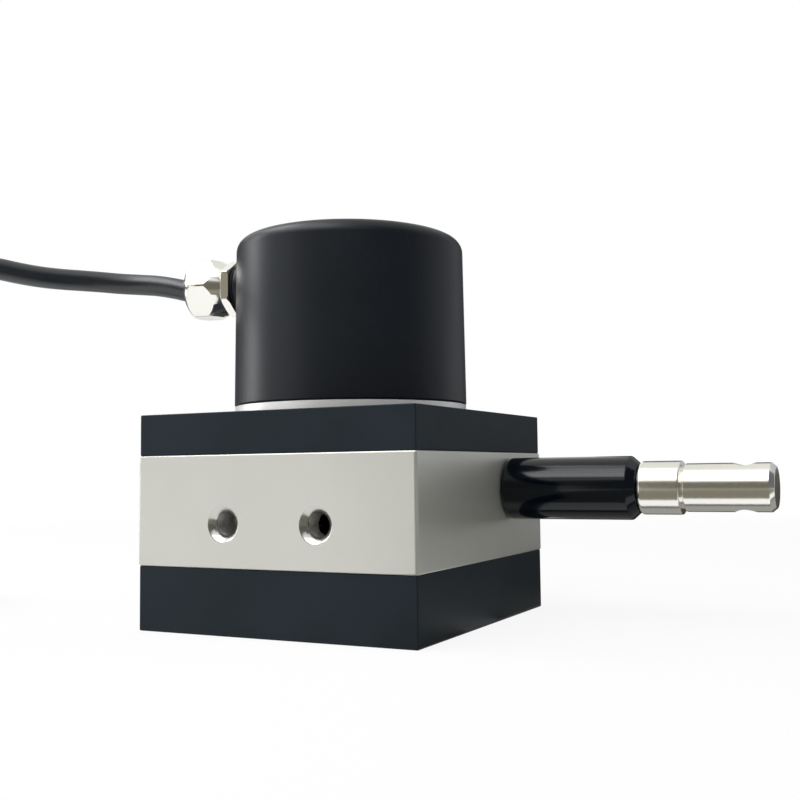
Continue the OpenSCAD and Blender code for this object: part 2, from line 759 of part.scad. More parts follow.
// Hexagonal base with one flat towards the front and its corners turned down at both ends
module gland_body() color("#c8c6be") difference() {
    union() {
        along_gland(boss_in) cylinder(r = gland_thread_r, h = hex_in - boss_in + 0.5);
        along_gland(hex_in) intersection() {
            cylinder(d = hex_af / cos(30), h = hex_h, $fn = 6);
            rotate_extrude() polygon([
                [0, 0], [nut_root_r, 0], [hex_af / 2 + 1, hex_turned_h],
                [hex_af / 2 + 1, hex_h - hex_turned_h], [nut_root_r, hex_h], [0, hex_h]
            ]);
        }
        along_gland(hex_in) cylinder(r = gland_thread_r, h = hex_h + 4);
    }
    along_gland(boss_in - 1) cylinder(r = cable_hole_r, h = 20);
    along_gland(hex_in + 1) cylinder(r = gland_bore_r, h = 20);
}

module gland_seal() color("#151515") along_gland(hex_in + 1.1)
    washer(gland_bore_r - 0.1, cable_r + 0.02, nut_l - nut_dome_l + 1);

// Clamping nut: a cone up to the hexagon's corners, the flats, and a domed mouth
module gland_nut() color("#c8c6be") along_gland(nut_in) difference() {
    intersection() {
        rotate(30) cylinder(r = nut_corner_r, h = nut_l, $fn = 6);
        rotate_extrude() polygon(concat(
            [[0, 0], [nut_root_r, 0], [nut_corner_r, nut_root_l]],
            [for (i = [0:10]) let (a = 90 * i / 10)
                [nut_mouth_r + (nut_corner_r - nut_mouth_r) * cos(a),
                    nut_l - nut_dome_l + nut_dome_l * sin(a)]],
            [[0, nut_l]]
        ));
    }
    translate([0, 0, -1]) cylinder(r = gland_thread_r + play, h = 5.4);
    translate([0, 0, -1]) cylinder(r = gland_bore_r, h = nut_l - 1);
    translate([0, 0, -1]) cylinder(r = cable_hole_r, h = nut_l + 2);
}

// ---- Wire outlet ----

module outlet_tube() color("#101114") along_wire(0) difference() {
    rotate_extrude() polygon([
        [0, guide_x], [tube_spigot_r - play, guide_x], [tube_spigot_r - play, tube_x],
        [tube_r - edge_cut, tube_x], [tube_r, tube_x + edge_cut],
        [tube_r, tube_end - tube_chamfer], [tube_r - tube_chamfer, tube_end],
        [0, tube_end]
    ]);
    translate([0, 0, guide_x - 1]) cylinder(r = tube_bore_r, h = tube_end);
    translate([0, 0, buffer_x]) cylinder(r = buffer_r, h = buffer_l + 1);
    translate([0, 0, tube_x - 0.1])
        washer(tube_spigot_r + seal_room_w + 0.1, tube_spigot_r - 0.1, seal_room_w);
}

module tube_seal() color("#111111") along_wire(tube_x + 0.5) rotate_extrude()
    translate([tube_spigot_r + tube_seal_r + 0.07, 0]) circle(r = tube_seal_r);

// Ceramic eyelet with a rounded mouth on the drum's side
module wire_guide() color("#efeae0") along_wire(guide_x) rotate_extrude() polygon(concat(
    [[tube_bore_r - play, guide_l], [tube_bore_r - play, 0], [tube_spigot_r - 0.3, 0],
        [tube_spigot_r - 0.3, -guide_flange_l], [guide_rim_r, -guide_flange_l]],
    [for (i = [0:6]) let (a = 90 * i / 6)
        [wire_r + guide_play + guide_mouth_r * (1 - sin(a)),
            guide_l - (guide_l + guide_flange_l) * cos(a)]]
));

module wire_wiper() color("#d9d4c4") along_wire(wiper_x)
    washer(tube_bore_r - play, wire_r + play, wiper_l);

module nose_buffer() color("#151515") along_wire(buffer_x)
    washer(buffer_r - play, fitting_hole_r, buffer_l - play);

// Free wire: down from the winding to the eyelet, then straight out to the ferrule
module draw_wire() color("#9a9a9a") tube_along([
    [0.1, wire_y, winding_top_z], [6, wire_y, winding_top_z - 0.2],
    [15, wire_y, (winding_top_z + wire_z) / 2 + 0.4],
    [guide_x - 1, wire_y, wire_z + 0.25], [guide_x + 3, wire_y, wire_z + 0.05],
    [guide_x + 6, wire_y, wire_z], [wiper_x + wiper_l, wire_y, wire_z],
    [ferrule_x + ferrule_l - 0.5, wire_y, wire_z]
], wire_r, 8);

module wire_ferrule() color("silver") along_wire(ferrule_x) difference() {
    cylinder(r = ferrule_r, h = ferrule_l);
    translate([0, 0, -1]) cylinder(r = wire_r, h = ferrule_l + 0.5);
}

// ---- End fitting ----

module fitting_collar() color("#cfcdc4") along_wire(0) rotate_extrude() polygon(concat(
    [[fitting_hole_r, fitting_x]],
    arc(collar_d / 2 - collar_rim_r, fitting_x + collar_rim_r, collar_rim_r, -90, 0, 5),
    [[collar_d / 2, collar_end - collar_cut], [collar_d / 2 - collar_cut, collar_end],
        [fitting_bore_r, collar_end], [fitting_bore_r, fitting_x + fitting_wall],
        [fitting_hole_r, fitting_x + fitting_wall]]
));

module eye_end() color("#cfcdc4") difference() {
    along_wire(0) rotate_extrude() polygon([
        [0, ferrule_x + ferrule_l + 0.3], [fitting_bore_r, ferrule_x + ferrule_l + 0.3],
        [fitting_bore_r, collar_end], [eye_d / 2 - 0.5, collar_end],
        [eye_d / 2 - 0.5, collar_end + neck_w], [eye_d / 2, collar_end + neck_w + 0.2],
        [eye_d / 2, eye_end_x - eye_cut - 0.2], [eye_d / 2 - eye_cut, eye_end_x - 0.15],
        [eye_d / 2 - eye_cut - 0.3, eye_end_x], [0, eye_end_x]
    ]);
    translate([eye_hole_x, wire_y, wire_z]) cylinder(d = eye_hole_d, h = eye_d + 2, center = true);
}

// ---- Cable ----

module cable() {
    inside = [
        for (r = [cable_start, 26, nut_in + nut_l])
            [r * cos(gland_angle), r * sin(gland_angle), gland_z]
    ];
    color("#15181b") tube_along(concat(inside, cable_route), cable_r, 8);
}

// Outer shape of the wound turns, and the straight tail that leaves them
module cable_coil() color("#15181b") translate([coil_x, coil_y, coil_z]) {
    rotate_extrude() translate([coil_in_r, 0]) polygon(concat(
        arc(coil_out_r - coil_in_r - coil_round, coil_round, coil_round, -90, 0, 3),
        arc(coil_out_r - coil_in_r - coil_round, coil_h - coil_round, coil_round, 0, 90, 3),
        arc(coil_round, coil_h - coil_round, coil_round, 90, 180, 3),
        arc(coil_round, coil_round, coil_round, 180, 270, 3)
    ));
    translate([-tail_r, 0, tail_z - coil_z]) rotate([-90, 0, 0]) cylinder(r = cable_r, h = tail_l);
}

// Bare cores at the cable's free end
module cable_leads() color("#b03030") for (i = [-1.5:1.5])
    translate([coil_x - tail_r + i * lead_pitch, coil_y + tail_l, tail_z])
        rotate([-90, 0, -i * lead_spread]) cylinder(r = core_r, h = lead_l);

// Straps round the coil's bundle
module coil_ties() color("#0c0c0c") for (a = tie_angles)
    translate([coil_x, coil_y, 0]) rotate(a) translate([0, tie_w / 2, 0]) rotate([90, 0, 0])
        linear_extrude(tie_w) difference() {
            tie_outline(tie_gap + tie_t);
            tie_outline(tie_gap);
        }

// Section through the bundle, grown by a margin, with its corners cut
module tie_outline(grow) {
    x0 = coil_in_r - grow;
    x1 = coil_out_r + grow;
    z0 = coil_z - min(grow, coil_z);
    z1 = coil_z + coil_h + grow;
    polygon([
        [x0 + tie_cut, z0], [x1 - tie_cut, z0], [x1, z0 + tie_cut], [x1, z1 - tie_cut],
        [x1 - tie_cut, z1], [x0 + tie_cut, z1], [x0, z1 - tie_cut], [x0, z0 + tie_cut]
    ]);
}

spring_cover();
cover_screws();
cover_seal();
power_spring();
spring_anchor_pin();
spring_arbor();
arbor_set_screw();
housing();
lower_bearing_outer_ring();
lower_bearing_inner_ring();
lower_bearing_balls();
lower_spacer();
drum();
drum_pin();
drum_shaft();
wound_wire();
upper_spacer();
upper_bearing_outer_ring();
upper_bearing_inner_ring();
upper_bearing_balls();
top_plate();
plate_screws();
flange_screws();
encoder_flange();
encoder_bearing_outer_rings();
encoder_bearing_inner_rings();
encoder_bearing_balls();
encoder_shaft();
shaft_coupling();
coupling_set_screws();
disc_hub();
code_disc();
light_source();
photo_detector();
lower_pillars();
encoder_board();
board_chips();
terminal_block();
upper_pillars();
encoder_cap();
cap_seal();
cap_screws();
gland_washer();
gland_body();
gland_seal();
gland_nut();
core_leads();
outlet_tube();
tube_seal();
wire_guide();
wire_wiper();
nose_buffer();
draw_wire();
wire_ferrule();
fitting_collar();
eye_end();
cable();
cable_coil();
cable_leads();
coil_ties();
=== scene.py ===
"""Draw wire encoder: camera, light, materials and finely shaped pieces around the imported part.

Shapes are written in millimetres and turned into metres when their mesh is made.
The cable's route, the stage and the lamps are in metres. Z is up, X runs along the draw wire.
"""

import math

import bmesh
import bpy
from mathutils import Matrix, Vector


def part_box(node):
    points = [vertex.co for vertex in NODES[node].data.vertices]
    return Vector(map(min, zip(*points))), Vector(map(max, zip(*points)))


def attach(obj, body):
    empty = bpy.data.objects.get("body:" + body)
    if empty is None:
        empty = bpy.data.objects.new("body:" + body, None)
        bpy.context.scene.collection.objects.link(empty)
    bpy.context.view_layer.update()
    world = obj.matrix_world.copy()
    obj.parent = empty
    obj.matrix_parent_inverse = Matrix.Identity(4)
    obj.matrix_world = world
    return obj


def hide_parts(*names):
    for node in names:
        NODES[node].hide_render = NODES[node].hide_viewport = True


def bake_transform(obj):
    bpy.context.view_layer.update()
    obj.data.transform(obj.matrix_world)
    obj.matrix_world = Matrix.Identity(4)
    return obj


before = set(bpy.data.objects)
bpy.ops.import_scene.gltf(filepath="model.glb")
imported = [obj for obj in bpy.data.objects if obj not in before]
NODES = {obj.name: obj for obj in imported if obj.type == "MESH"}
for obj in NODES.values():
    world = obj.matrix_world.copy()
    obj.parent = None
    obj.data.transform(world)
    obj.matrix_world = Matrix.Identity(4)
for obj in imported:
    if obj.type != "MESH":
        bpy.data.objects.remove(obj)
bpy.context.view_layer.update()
MM = 0.001


# ---- Camera and cable first: they settle what the picture shows ----

CAMERA_AT = (0.10755, -0.18386, 0.02977)
CAMERA_TURN = math.radians(26.10)
CAMERA_PITCH = math.radians(3.91)
CAMERA_ROLL = math.radians(-0.75)
LENS = 46.32
CAMERA_SHIFT = -0.0343

CABLE_D = 0.0045
GLAND_ANGLE = math.radians(193)
GLAND_Z = 69.0
CABLE_START = 17.5
NUT_MOUTH = 36.0
ROUTE = [
    (-0.0385, -0.009, 0.0698), (-0.0425, -0.010, 0.0706), (-0.0465, -0.0115, 0.071),
    (-0.050, -0.0138, 0.0712), (-0.053, -0.0167, 0.0714), (-0.0555, -0.0202, 0.0714),
    (-0.0575, -0.024, 0.0713), (-0.0591, -0.028, 0.0713), (-0.0605, -0.0322, 0.0715),
    (-0.0618, -0.0366, 0.0718), (-0.0634, -0.041, 0.0716), (-0.0657, -0.0451, 0.0709),
    (-0.0687, -0.0488, 0.0694), (-0.0723, -0.0519, 0.0668), (-0.0764, -0.0542, 0.0631),
    (-0.0807, -0.0558, 0.0585), (-0.0851, -0.0568, 0.0532), (-0.0895, -0.0573, 0.0476),
    (-0.0939, -0.0577, 0.0418), (-0.0984, -0.0577, 0.0359), (-0.1029, -0.0576, 0.030),
    (-0.1075, -0.0572, 0.0245), (-0.1125, -0.0564, 0.0196), (-0.118, -0.055, 0.0156),
    (-0.1227, -0.0536, 0.0132),
]
COIL_AT = (-0.116, -0.033)
TURN_PITCH = 0.0046
TURN_IN_R = 0.0218
TURN_OUT_R = TURN_IN_R + TURN_PITCH
LOW_Z = 0.0007 + CABLE_D / 2
ENTRY_ANGLE = 240
EXIT_ANGLE = 180 - 5 * 360
TURN_STEPS = 24
CROSSOVER = 0.16
TAIL_L = 0.022


def make_camera():
    """The photograph's camera: right of the body, low, looking slightly up."""
    forward = Vector((
        -math.sin(CAMERA_TURN) * math.cos(CAMERA_PITCH),
        math.cos(CAMERA_TURN) * math.cos(CAMERA_PITCH),
        math.sin(CAMERA_PITCH),
    ))
    side = Vector((math.cos(CAMERA_TURN), math.sin(CAMERA_TURN), 0))
    up = side.cross(forward)
    right = side * math.cos(CAMERA_ROLL) + up * math.sin(CAMERA_ROLL)
    top = up * math.cos(CAMERA_ROLL) - side * math.sin(CAMERA_ROLL)
    camera = bpy.data.objects.new("camera", bpy.data.cameras.new("camera"))
    camera.data.lens = LENS
    camera.data.sensor_width = 36
    camera.data.shift_x = CAMERA_SHIFT
    camera.data.clip_start = 0.01
    camera.matrix_world = (
        Matrix.Translation(CAMERA_AT) @ Matrix((right, top, -forward)).transposed().to_4x4()
    )
    bpy.context.scene.collection.objects.link(camera)
    bpy.context.scene.camera = camera


def along_gland(radius, z=GLAND_Z):
    """A point on the gland's axis, in metres."""
    return (
        radius * math.cos(GLAND_ANGLE) * MM, radius * math.sin(GLAND_ANGLE) * MM, z * MM
    )


def coil_points():
    """The stored cable: two turns side by side in three layers, one place after another."""
    places = [
        (radius, LOW_Z + TURN_PITCH * layer)
        for layer, radii in ((2, (TURN_IN_R, TURN_OUT_R)), (1, (TURN_OUT_R, TURN_IN_R)),
                             (0, (TURN_IN_R, TURN_OUT_R)))
        for radius in radii
    ]
    steps = round((ENTRY_ANGLE - EXIT_ANGLE) / 360 * TURN_STEPS)
    points = []
    for i in range(steps + 1):
        angle = math.radians(ENTRY_ANGLE + (EXIT_ANGLE - ENTRY_ANGLE) * i / steps)
        turn = min(i * len(places) // steps, len(places) - 1)
        done = i * len(places) / steps - turn
        share = min(max((done - 1) / CROSSOVER + 1, 0), 1)
        share *= share * (3 - 2 * share)
        here, after = places[turn], places[min(turn + 1, len(places) - 1)]
        radius = here[0] + (after[0] - here[0]) * share
        points.append((
            COIL_AT[0] + radius * math.cos(angle), COIL_AT[1] + radius * math.sin(angle),
            here[1] + (after[1] - here[1]) * share,
        ))
    return points


def make_cable():
    """One smooth curve from inside the gland to the bare leads."""
    inside = [along_gland(r) for r in (CABLE_START, 26, NUT_MOUTH)]
    coil = coil_points()
    end = coil[-1]
    tail = [(end[0], end[1] + TAIL_L * share, LOW_Z) for share in (0.25, 0.5, 0.75, 1)]
    points = inside + ROUTE + coil + tail
    curve = bpy.data.curves.new("cable_sheath", "CURVE")
    curve.dimensions = "3D"
    curve.bevel_depth = CABLE_D / 2
    curve.bevel_resolution = 6
    curve.resolution_u = 4
    curve.use_fill_caps = True
    spline = curve.splines.new("BEZIER")
    spline.bezier_points.add(len(points) - 1)
    for knot, point in zip(spline.bezier_points, points):
        knot.co = point
        knot.handle_left_type = knot.handle_right_type = "AUTO"
    cable = bpy.data.objects.new("cable_sheath", curve)
    bpy.context.scene.collection.objects.link(cable)
    return cable


# ---- Materials ----

def node(tree, kind, **values):
    """A shader node with its inputs set by name or number."""
    made = tree.nodes.new(kind)
    for key, value in values.items():
        made.inputs[key.replace("_", " ")].default_value = value
    return made


def finish_of(
    name, colour, rough, metal=0.0, spec=0.5, tint=0.06, mottle=60, rough_vary=0.05,
    grain=2500, bump=0.05, stretch=(1, 1, 1), coat=0.0, coat_rough=0.1,
):
    """A worked surface: mottled colour, uneven roughness and a fine grain, all from noise."""
    material = bpy.data.materials.new(name)
    material.use_nodes = True
    tree = material.node_tree
    shader = tree.nodes["Principled BSDF"]
    shader.inputs["Metallic"].default_value = metal
    shader.inputs["Specular IOR Level"].default_value = spec
    shader.inputs["Coat Weight"].default_value = coat
    shader.inputs["Coat Roughness"].default_value = coat_rough
    place = tree.nodes.new("ShaderNodeTexCoord")
    mapping = node(tree, "ShaderNodeMapping", Scale=stretch)
    tree.links.new(place.outputs["Object"], mapping.inputs["Vector"])

    def noise(scale, detail):
        made = node(tree, "ShaderNodeTexNoise", Scale=scale, Detail=detail)
        tree.links.new(mapping.outputs["Vector"], made.inputs["Vector"])
        return made.outputs["Fac"]

    ramp = tree.nodes.new("ShaderNodeValToRGB")
    ramp.color_ramp.elements[0].position = 0.3
    ramp.color_ramp.elements[1].position = 0.7
    ramp.color_ramp.elements[0].color = (*[c * (1 - tint) for c in colour], 1)
    ramp.color_ramp.elements[1].color = (*[min(c * (1 + tint), 1) for c in colour], 1)
    tree.links.new(noise(mottle, 3), ramp.inputs["Fac"])
    tree.links.new(ramp.outputs["Color"], shader.inputs["Base Color"])
    fine = noise(grain, 2)
    spread = tree.nodes.new("ShaderNodeMapRange")
    spread.inputs["To Min"].default_value = max(rough - rough_vary, 0)
    spread.inputs["To Max"].default_value = rough + rough_vary
    tree.links.new(fine, spread.inputs["Value"])
    tree.links.new(spread.outputs["Result"], shader.inputs["Roughness"])
    relief = node(tree, "ShaderNodeBump", Strength=bump, Distance=0.0001)
    tree.links.new(fine, relief.inputs["Height"])
    tree.links.new(relief.outputs["Normal"], shader.inputs["Normal"])
    return material


def make_materials():
    """One finish for each material slot of the record."""
    return {
        "black_plate": finish_of("black_plate", (0.014, 0.021, 0.027), 0.48, spec=0.12,
                                 grain=3500, bump=0.12, tint=0.12),
        "black_cap": finish_of("black_cap", (0.008, 0.011, 0.016), 0.36, spec=0.3,
                               grain=3000, bump=0.18, tint=0.1),
        "silver_body": finish_of("silver_body", (0.63, 0.63, 0.58), 0.38, metal=0.70,
                                 grain=4000, bump=0.25, tint=0.03, mottle=40),
        "bright_drum": finish_of("bright_drum", (0.80, 0.79, 0.77), 0.22, metal=1.0,
                                 stretch=(1, 1, 12), grain=900),
        "black_tube": finish_of("black_tube", (0.0004, 0.0026, 0.0060), 0.12, spec=0.38,
                                grain=2500, bump=0.04, tint=0.15),
        "nickel": finish_of("nickel", (0.94, 0.925, 0.87), 0.18, metal=1.0,
                            grain=1500, bump=0.03, tint=0.03, rough_vary=0.03),
        "steel": finish_of("steel", (0.62, 0.61, 0.60), 0.25, metal=1.0, grain=1800),
        "screw_steel": finish_of("screw_steel", (0.66, 0.65, 0.63), 0.24, metal=1.0, grain=2200),
        "dark_screw": finish_of("dark_screw", (0.03, 0.03, 0.032), 0.35, metal=0.6, grain=2200),
        "spring_steel": finish_of("spring_steel", (0.17, 0.21, 0.30), 0.28, metal=1.0,
                                  stretch=(1, 1, 0.1), grain=1500, tint=0.2),
        "brass": finish_of("brass", (0.76, 0.55, 0.22), 0.25, metal=1.0, grain=1500),
        "black_rubber": finish_of("black_rubber", (0.012, 0.012, 0.013), 0.6, spec=0.3,
                                  grain=2500, bump=0.2),
        "ceramic": finish_of("ceramic", (0.85, 0.82, 0.74), 0.15, coat=0.3, tint=0.02),
        "felt": finish_of("felt", (0.70, 0.66, 0.55), 0.9, spec=0.1, grain=1200, bump=0.8,
                          tint=0.15),
        "disc_metal": finish_of("disc_metal", (0.42, 0.52, 0.58), 0.1, metal=0.7, tint=0.04),
        "board_green": finish_of("board_green", (0.012, 0.12, 0.04), 0.3, coat=0.4,
                                 mottle=300, tint=0.2),
        "chip_black": finish_of("chip_black", (0.015, 0.015, 0.017), 0.45, grain=3000, bump=0.2),
        "terminal_plastic": finish_of("terminal_plastic", (0.78, 0.75, 0.66), 0.4, grain=2000),
        "core_insulation": finish_of("core_insulation", (0.45, 0.03, 0.025), 0.35, grain=1500),
        "cable_sheath": finish_of("cable_sheath", (0.010, 0.015, 0.020), 0.34, spec=0.85,
                                  grain=2200, bump=0.15, tint=0.15),
        "strap_black": finish_of("strap_black", (0.012, 0.012, 0.013), 0.35, spec=0.4,
                                 grain=1800, bump=0.1),
    }


def dress(thing, material):
    """Give a piece its finish."""
    thing.data.materials.clear()
    thing.data.materials.append(material)


# ---- Meshes from millimetre outlines ----

def mesh_object(name, points, faces):
    """An object whose points are in millimetres."""
    mesh = bpy.data.meshes.new(name)
    mesh.from_pydata([Vector(p) * MM for p in points], [], faces)
    mesh.validate()
    built = bmesh.new()
    built.from_mesh(mesh)
    bmesh.ops.recalc_face_normals(built, faces=built.faces)
    built.to_mesh(mesh)
    built.free()
    thing = bpy.data.objects.new(name, mesh)
    bpy.context.scene.collection.objects.link(thing)
    return thing


def rounded(corners, steps=4):
    """An open or closed outline in which each corner (x, y, radius) becomes an arc."""
    outline = []
    count = len(corners)
    for i, corner in enumerate(corners):
        here = Vector(corner[:2])
        radius = corner[2] if len(corner) > 2 else 0
        back = (Vector(corners[i - 1][:2]) - here).normalized()
        ahead = (Vector(corners[(i + 1) % count][:2]) - here).normalized()
        angle = back.angle(ahead)
        if not radius or angle > math.radians(179):
            outline.append(tuple(here))
            continue
        reach = radius / math.tan(angle / 2)
        middle = here + (back + ahead).normalized() * radius / math.sin(angle / 2)
        start = here + back * reach - middle
        sweep = math.pi - angle
        turn = 1 if start.cross(here + ahead * reach - middle) > 0 else -1
        for k in range(steps + 1):
            spin = turn * sweep * k / steps
            outline.append((
                middle.x + start.x * math.cos(spin) - start.y * math.sin(spin),
                middle.y + start.x * math.sin(spin) + start.y * math.cos(spin),
            ))
    return outline


def lathe(name, outline, steps=96):
    """A closed outline of (radius, height) turned about Z; a radius of 0 makes a pole."""
    points, rows = [], []
    for radius, height in outline:
        if radius < 1e-6:
            rows.append([len(points)] * steps)
            points.append((0, 0, height))
            continue
        rows.append(range(len(points), len(points) + steps))
        points += [
            (radius * math.cos(2 * math.pi * k / steps), radius * math.sin(2 * math.pi * k / steps),
             height) for k in range(steps)
        ]
    faces = []
    for i, row in enumerate(rows):
        after = rows[(i + 1) % len(rows)]
        if row[0] == row[-1] and after[0] == after[-1]:
            continue
        for k in range(steps):
            j = (k + 1) % steps
            corners = dict.fromkeys((row[k], row[j], after[j], after[k]))
            if len(corners) > 2:
                faces.append(tuple(corners))
    return mesh_object(name, points, faces)


def stack(name, outlines):
    """Flat outlines of equal count at rising heights, skinned and closed."""
    points, faces = [], []
    for outline, height in outlines:
        points += [(x, y, height) for x, y in outline]
    count = len(outlines[0][0])
    for level in range(len(outlines) - 1):
        for k in range(count):
            a, b = level * count + k, level * count + (k + 1) % count
            faces.append((a, b, b + count, a + count))
    faces.append(tuple(reversed(range(count))))
    faces.append(tuple(range(len(points) - count, len(points))))
    return mesh_object(name, points, faces)


def square(half, corner, steps=8):
    """Outline of a square with rounded corners."""
    return [
        (
            (half - corner) * sx + corner * math.cos(math.radians(start + 90 * i / steps)),
            (half - corner) * sy + corner * math.sin(math.radians(start + 90 * i / steps)),
        )
        for sx, sy, start in ((1, 1, 0), (-1, 1, 90), (-1, -1, 180), (1, -1, 270))
        for i in range(steps + 1)
    ]


def block(name, half, low, high, corner, edge, steps=4):
    """Square plate with rounded upright edges and softly broken upper and lower edges."""
    levels = []
    for i in range(steps + 1):
        angle = math.pi / 2 * i / steps
        levels.append((edge * (1 - math.sin(angle)), low + edge * (1 - math.cos(angle))))
    levels += [(inset, low + high - z) for inset, z in reversed(levels)]
    return stack(name, [
        (square(half - inset, max(corner - inset, 0.05)), z) for inset, z in levels
    ])


def moved(thing, matrix):
    """The same object with its mesh placed by a matrix given in millimetres."""
    matrix = matrix.copy()
    matrix.translation *= MM
    thing.data.transform(matrix)
    return thing


def combine(thing, others, operation):
    """Cut or join solids into thing; the others are used up."""
    for other in others:
        change = thing.modifiers.new("solid", "BOOLEAN")
        change.operation = operation
        change.solver = "EXACT"
        change.object = other
    evaluated = thing.evaluated_get(bpy.context.evaluated_depsgraph_get())
    result = bpy.data.meshes.new_from_object(evaluated)
    thing.modifiers.clear()
    thing.data = result
    for other in others:
        bpy.data.objects.remove(other)
    return thing


def carve(thing, *cutters):
    """Cut the cutters out of thing."""
    return combine(thing, cutters, "DIFFERENCE")


def join(thing, *others):
    """Add the others to thing."""
    return combine(thing, others, "UNION")


def smooth(thing, angle=32, bevel=0.0):
    """Round shading that keeps real edges, after an optional small bevel in millimetres."""
    if bevel:
        edges = thing.modifiers.new("edges", "BEVEL")
        edges.width = bevel * MM
        edges.segments = 2
        edges.limit_method = "ANGLE"
        edges.angle_limit = math.radians(30)
        edges.harden_normals = False
    thing.data.shade_smooth()
    thing.data.set_sharp_from_angle(angle=math.radians(angle))
    weighted = thing.modifiers.new("weighted", "WEIGHTED_NORMAL")
    weighted.keep_sharp = True
    return thing


def box(name):
    """Lowest and highest corner of a CAD node, in millimetres."""
    low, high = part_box(name)
    return low / MM, high / MM


WIRE_AXIS = Vector((0, *[(a + b) / 2 for a, b in zip(*box("outlet_tube"))][1:]))
TO_WIRE = Matrix.Translation(WIRE_AXIS) @ Matrix.Rotation(math.pi / 2, 4, "Y")


def to_gland(radius):
    """Matrix that lays a turned shape along the gland's axis, from a radius outwards."""
    return (
        Matrix.Rotation(GLAND_ANGLE, 4, "Z") @ Matrix.Translation((radius, 0, GLAND_Z))
        @ Matrix.Rotation(math.pi / 2, 4, "Y")
    )


def cylinder(name, radius, low, high, steps=64):
    """A plain cylinder from one height to another, mostly to cut with."""
    return lathe(name, [(0, low), (radius, low), (radius, high), (0, high)], steps)


def hexagon(across, twist=0.0, corner=0.25, steps=3):
    """Outline of a hexagon with slightly rounded corners, by its width across flats."""
    reach = across / math.sqrt(3)
    corners = [
        (reach * math.cos(twist + math.pi / 3 * i), reach * math.sin(twist + math.pi / 3 * i), corner)
        for i in range(6)
    ]
    return rounded(corners, steps)


# ---- Body ----

SCREW_OFFSET = 24.6
MOUNT_X = 10
MOUNT_Z = 20.4
MOUNT_CORE_R = 2.15
MOUNT_MOUTH_R = 3.5
MOUTH_FROM, MOUTH_TO = math.radians(28), math.radians(60)
MOUTH_ARC = (MOUNT_MOUTH_R - MOUNT_CORE_R) / (math.sin(MOUTH_TO) - math.sin(MOUTH_FROM))
MOUTH_DEPTH = MOUTH_ARC * (math.cos(MOUTH_FROM) - math.cos(MOUTH_TO))
MOUTH_STEPS = 9
THREAD_PITCH = 0.8
THREAD_DEPTH = 0.28
LEFT_HOLE_DEPTH, RIGHT_HOLE_DEPTH = 6.6, 4.9
SHANK_R, FREE_R, HEAD_R, HEAD_H = 1.2, 1.7, 2.9, 1.7
CORNERS = [(x, y) for x in (-SCREW_OFFSET, SCREW_OFFSET) for y in (-SCREW_OFFSET, SCREW_OFFSET)]


def countersink(free_r, depth, head_r, head_h, up=1):
    """Cutter for a countersunk hole that opens at z = 0, downwards for up = 1."""
    cutter = lathe("cutter", [
        (0, -depth - 1), (free_r, -depth - 1), (free_r, -head_h), (head_r + 0.2, 0.0),
        (head_r + 0.35, 0.15), (head_r + 0.35, 1), (0, 1),
    ], 48)
    if up < 0:
        cutter.data.transform(Matrix.Rotation(math.pi, 4, "X"))
    return cutter


def thread_cutter(depth, through):
    """A tapped hole's inside: a helical groove on the core, an arched mouth, a drill point."""
    turn_steps, pitch_steps = 40, 6
    rings = round(depth / THREAD_PITCH * pitch_steps)
    points, faces = [], []

    def ring(height, radius, groove_depth=0):
        start = len(points)
        for k in range(turn_steps):
            phase = (height / THREAD_PITCH + k / turn_steps) % 1
            reach = radius + groove_depth * (1 - abs(2 * phase - 1))
            angle = 2 * math.pi * k / turn_steps
            points.append((reach * math.cos(angle), reach * math.sin(angle), height))
        return start

    mouth = MOUNT_MOUTH_R - MOUNT_CORE_R
    starts = [ring(1, MOUNT_MOUTH_R)]
    for step in range(MOUTH_STEPS):
        turn = MOUTH_FROM + (MOUTH_TO - MOUTH_FROM) * step / MOUTH_STEPS
        inset = MOUTH_ARC * (math.sin(turn) - math.sin(MOUTH_FROM))
        drop = MOUTH_ARC * (math.cos(MOUTH_FROM) - math.cos(turn))
        starts.append(ring(-drop, MOUNT_MOUTH_R - inset))
    for i in range(rings + 1):
        height = -mouth - (depth - mouth) * i / rings
        starts.append(ring(height, MOUNT_CORE_R, THREAD_DEPTH))
    tip = -depth - (2 if through else 1.2)
    starts.append(ring(tip if through else -depth - 0.05, MOUNT_CORE_R))
    for first, second in zip(starts, starts[1:]):
        for k in range(turn_steps):
            j = (k + 1) % turn_steps
            faces.append((first + k, first + j, second + j, second + k))
    faces.append(tuple(range(starts[0], starts[0] + turn_steps)))
    points.append((0, 0, tip))
    for k in range(turn_steps):
        faces.append((starts[-1] + k, starts[-1] + (k + 1) % turn_steps, len(points) - 1))
    return mesh_object("cutter", points, faces)


def finish_holes(body, half):
    """Second finish in the mounting holes' mouths, third in their threads, darkened there as painted
    shade; the rest keeps the first.
    """
    skin, reach = 0.02, 8
    for face in body.data.polygons:
        x, y, z = face.center / MM
        depth = y + half
        away = math.hypot(abs(x) - MOUNT_X, z - MOUNT_Z)
        if away < MOUNT_MOUTH_R + 0.2 and skin < depth < reach:
            # Index 2 marks the threads, whose finish is darkened as painted shade.
            face.material_index = 1 if depth < MOUTH_DEPTH else 2


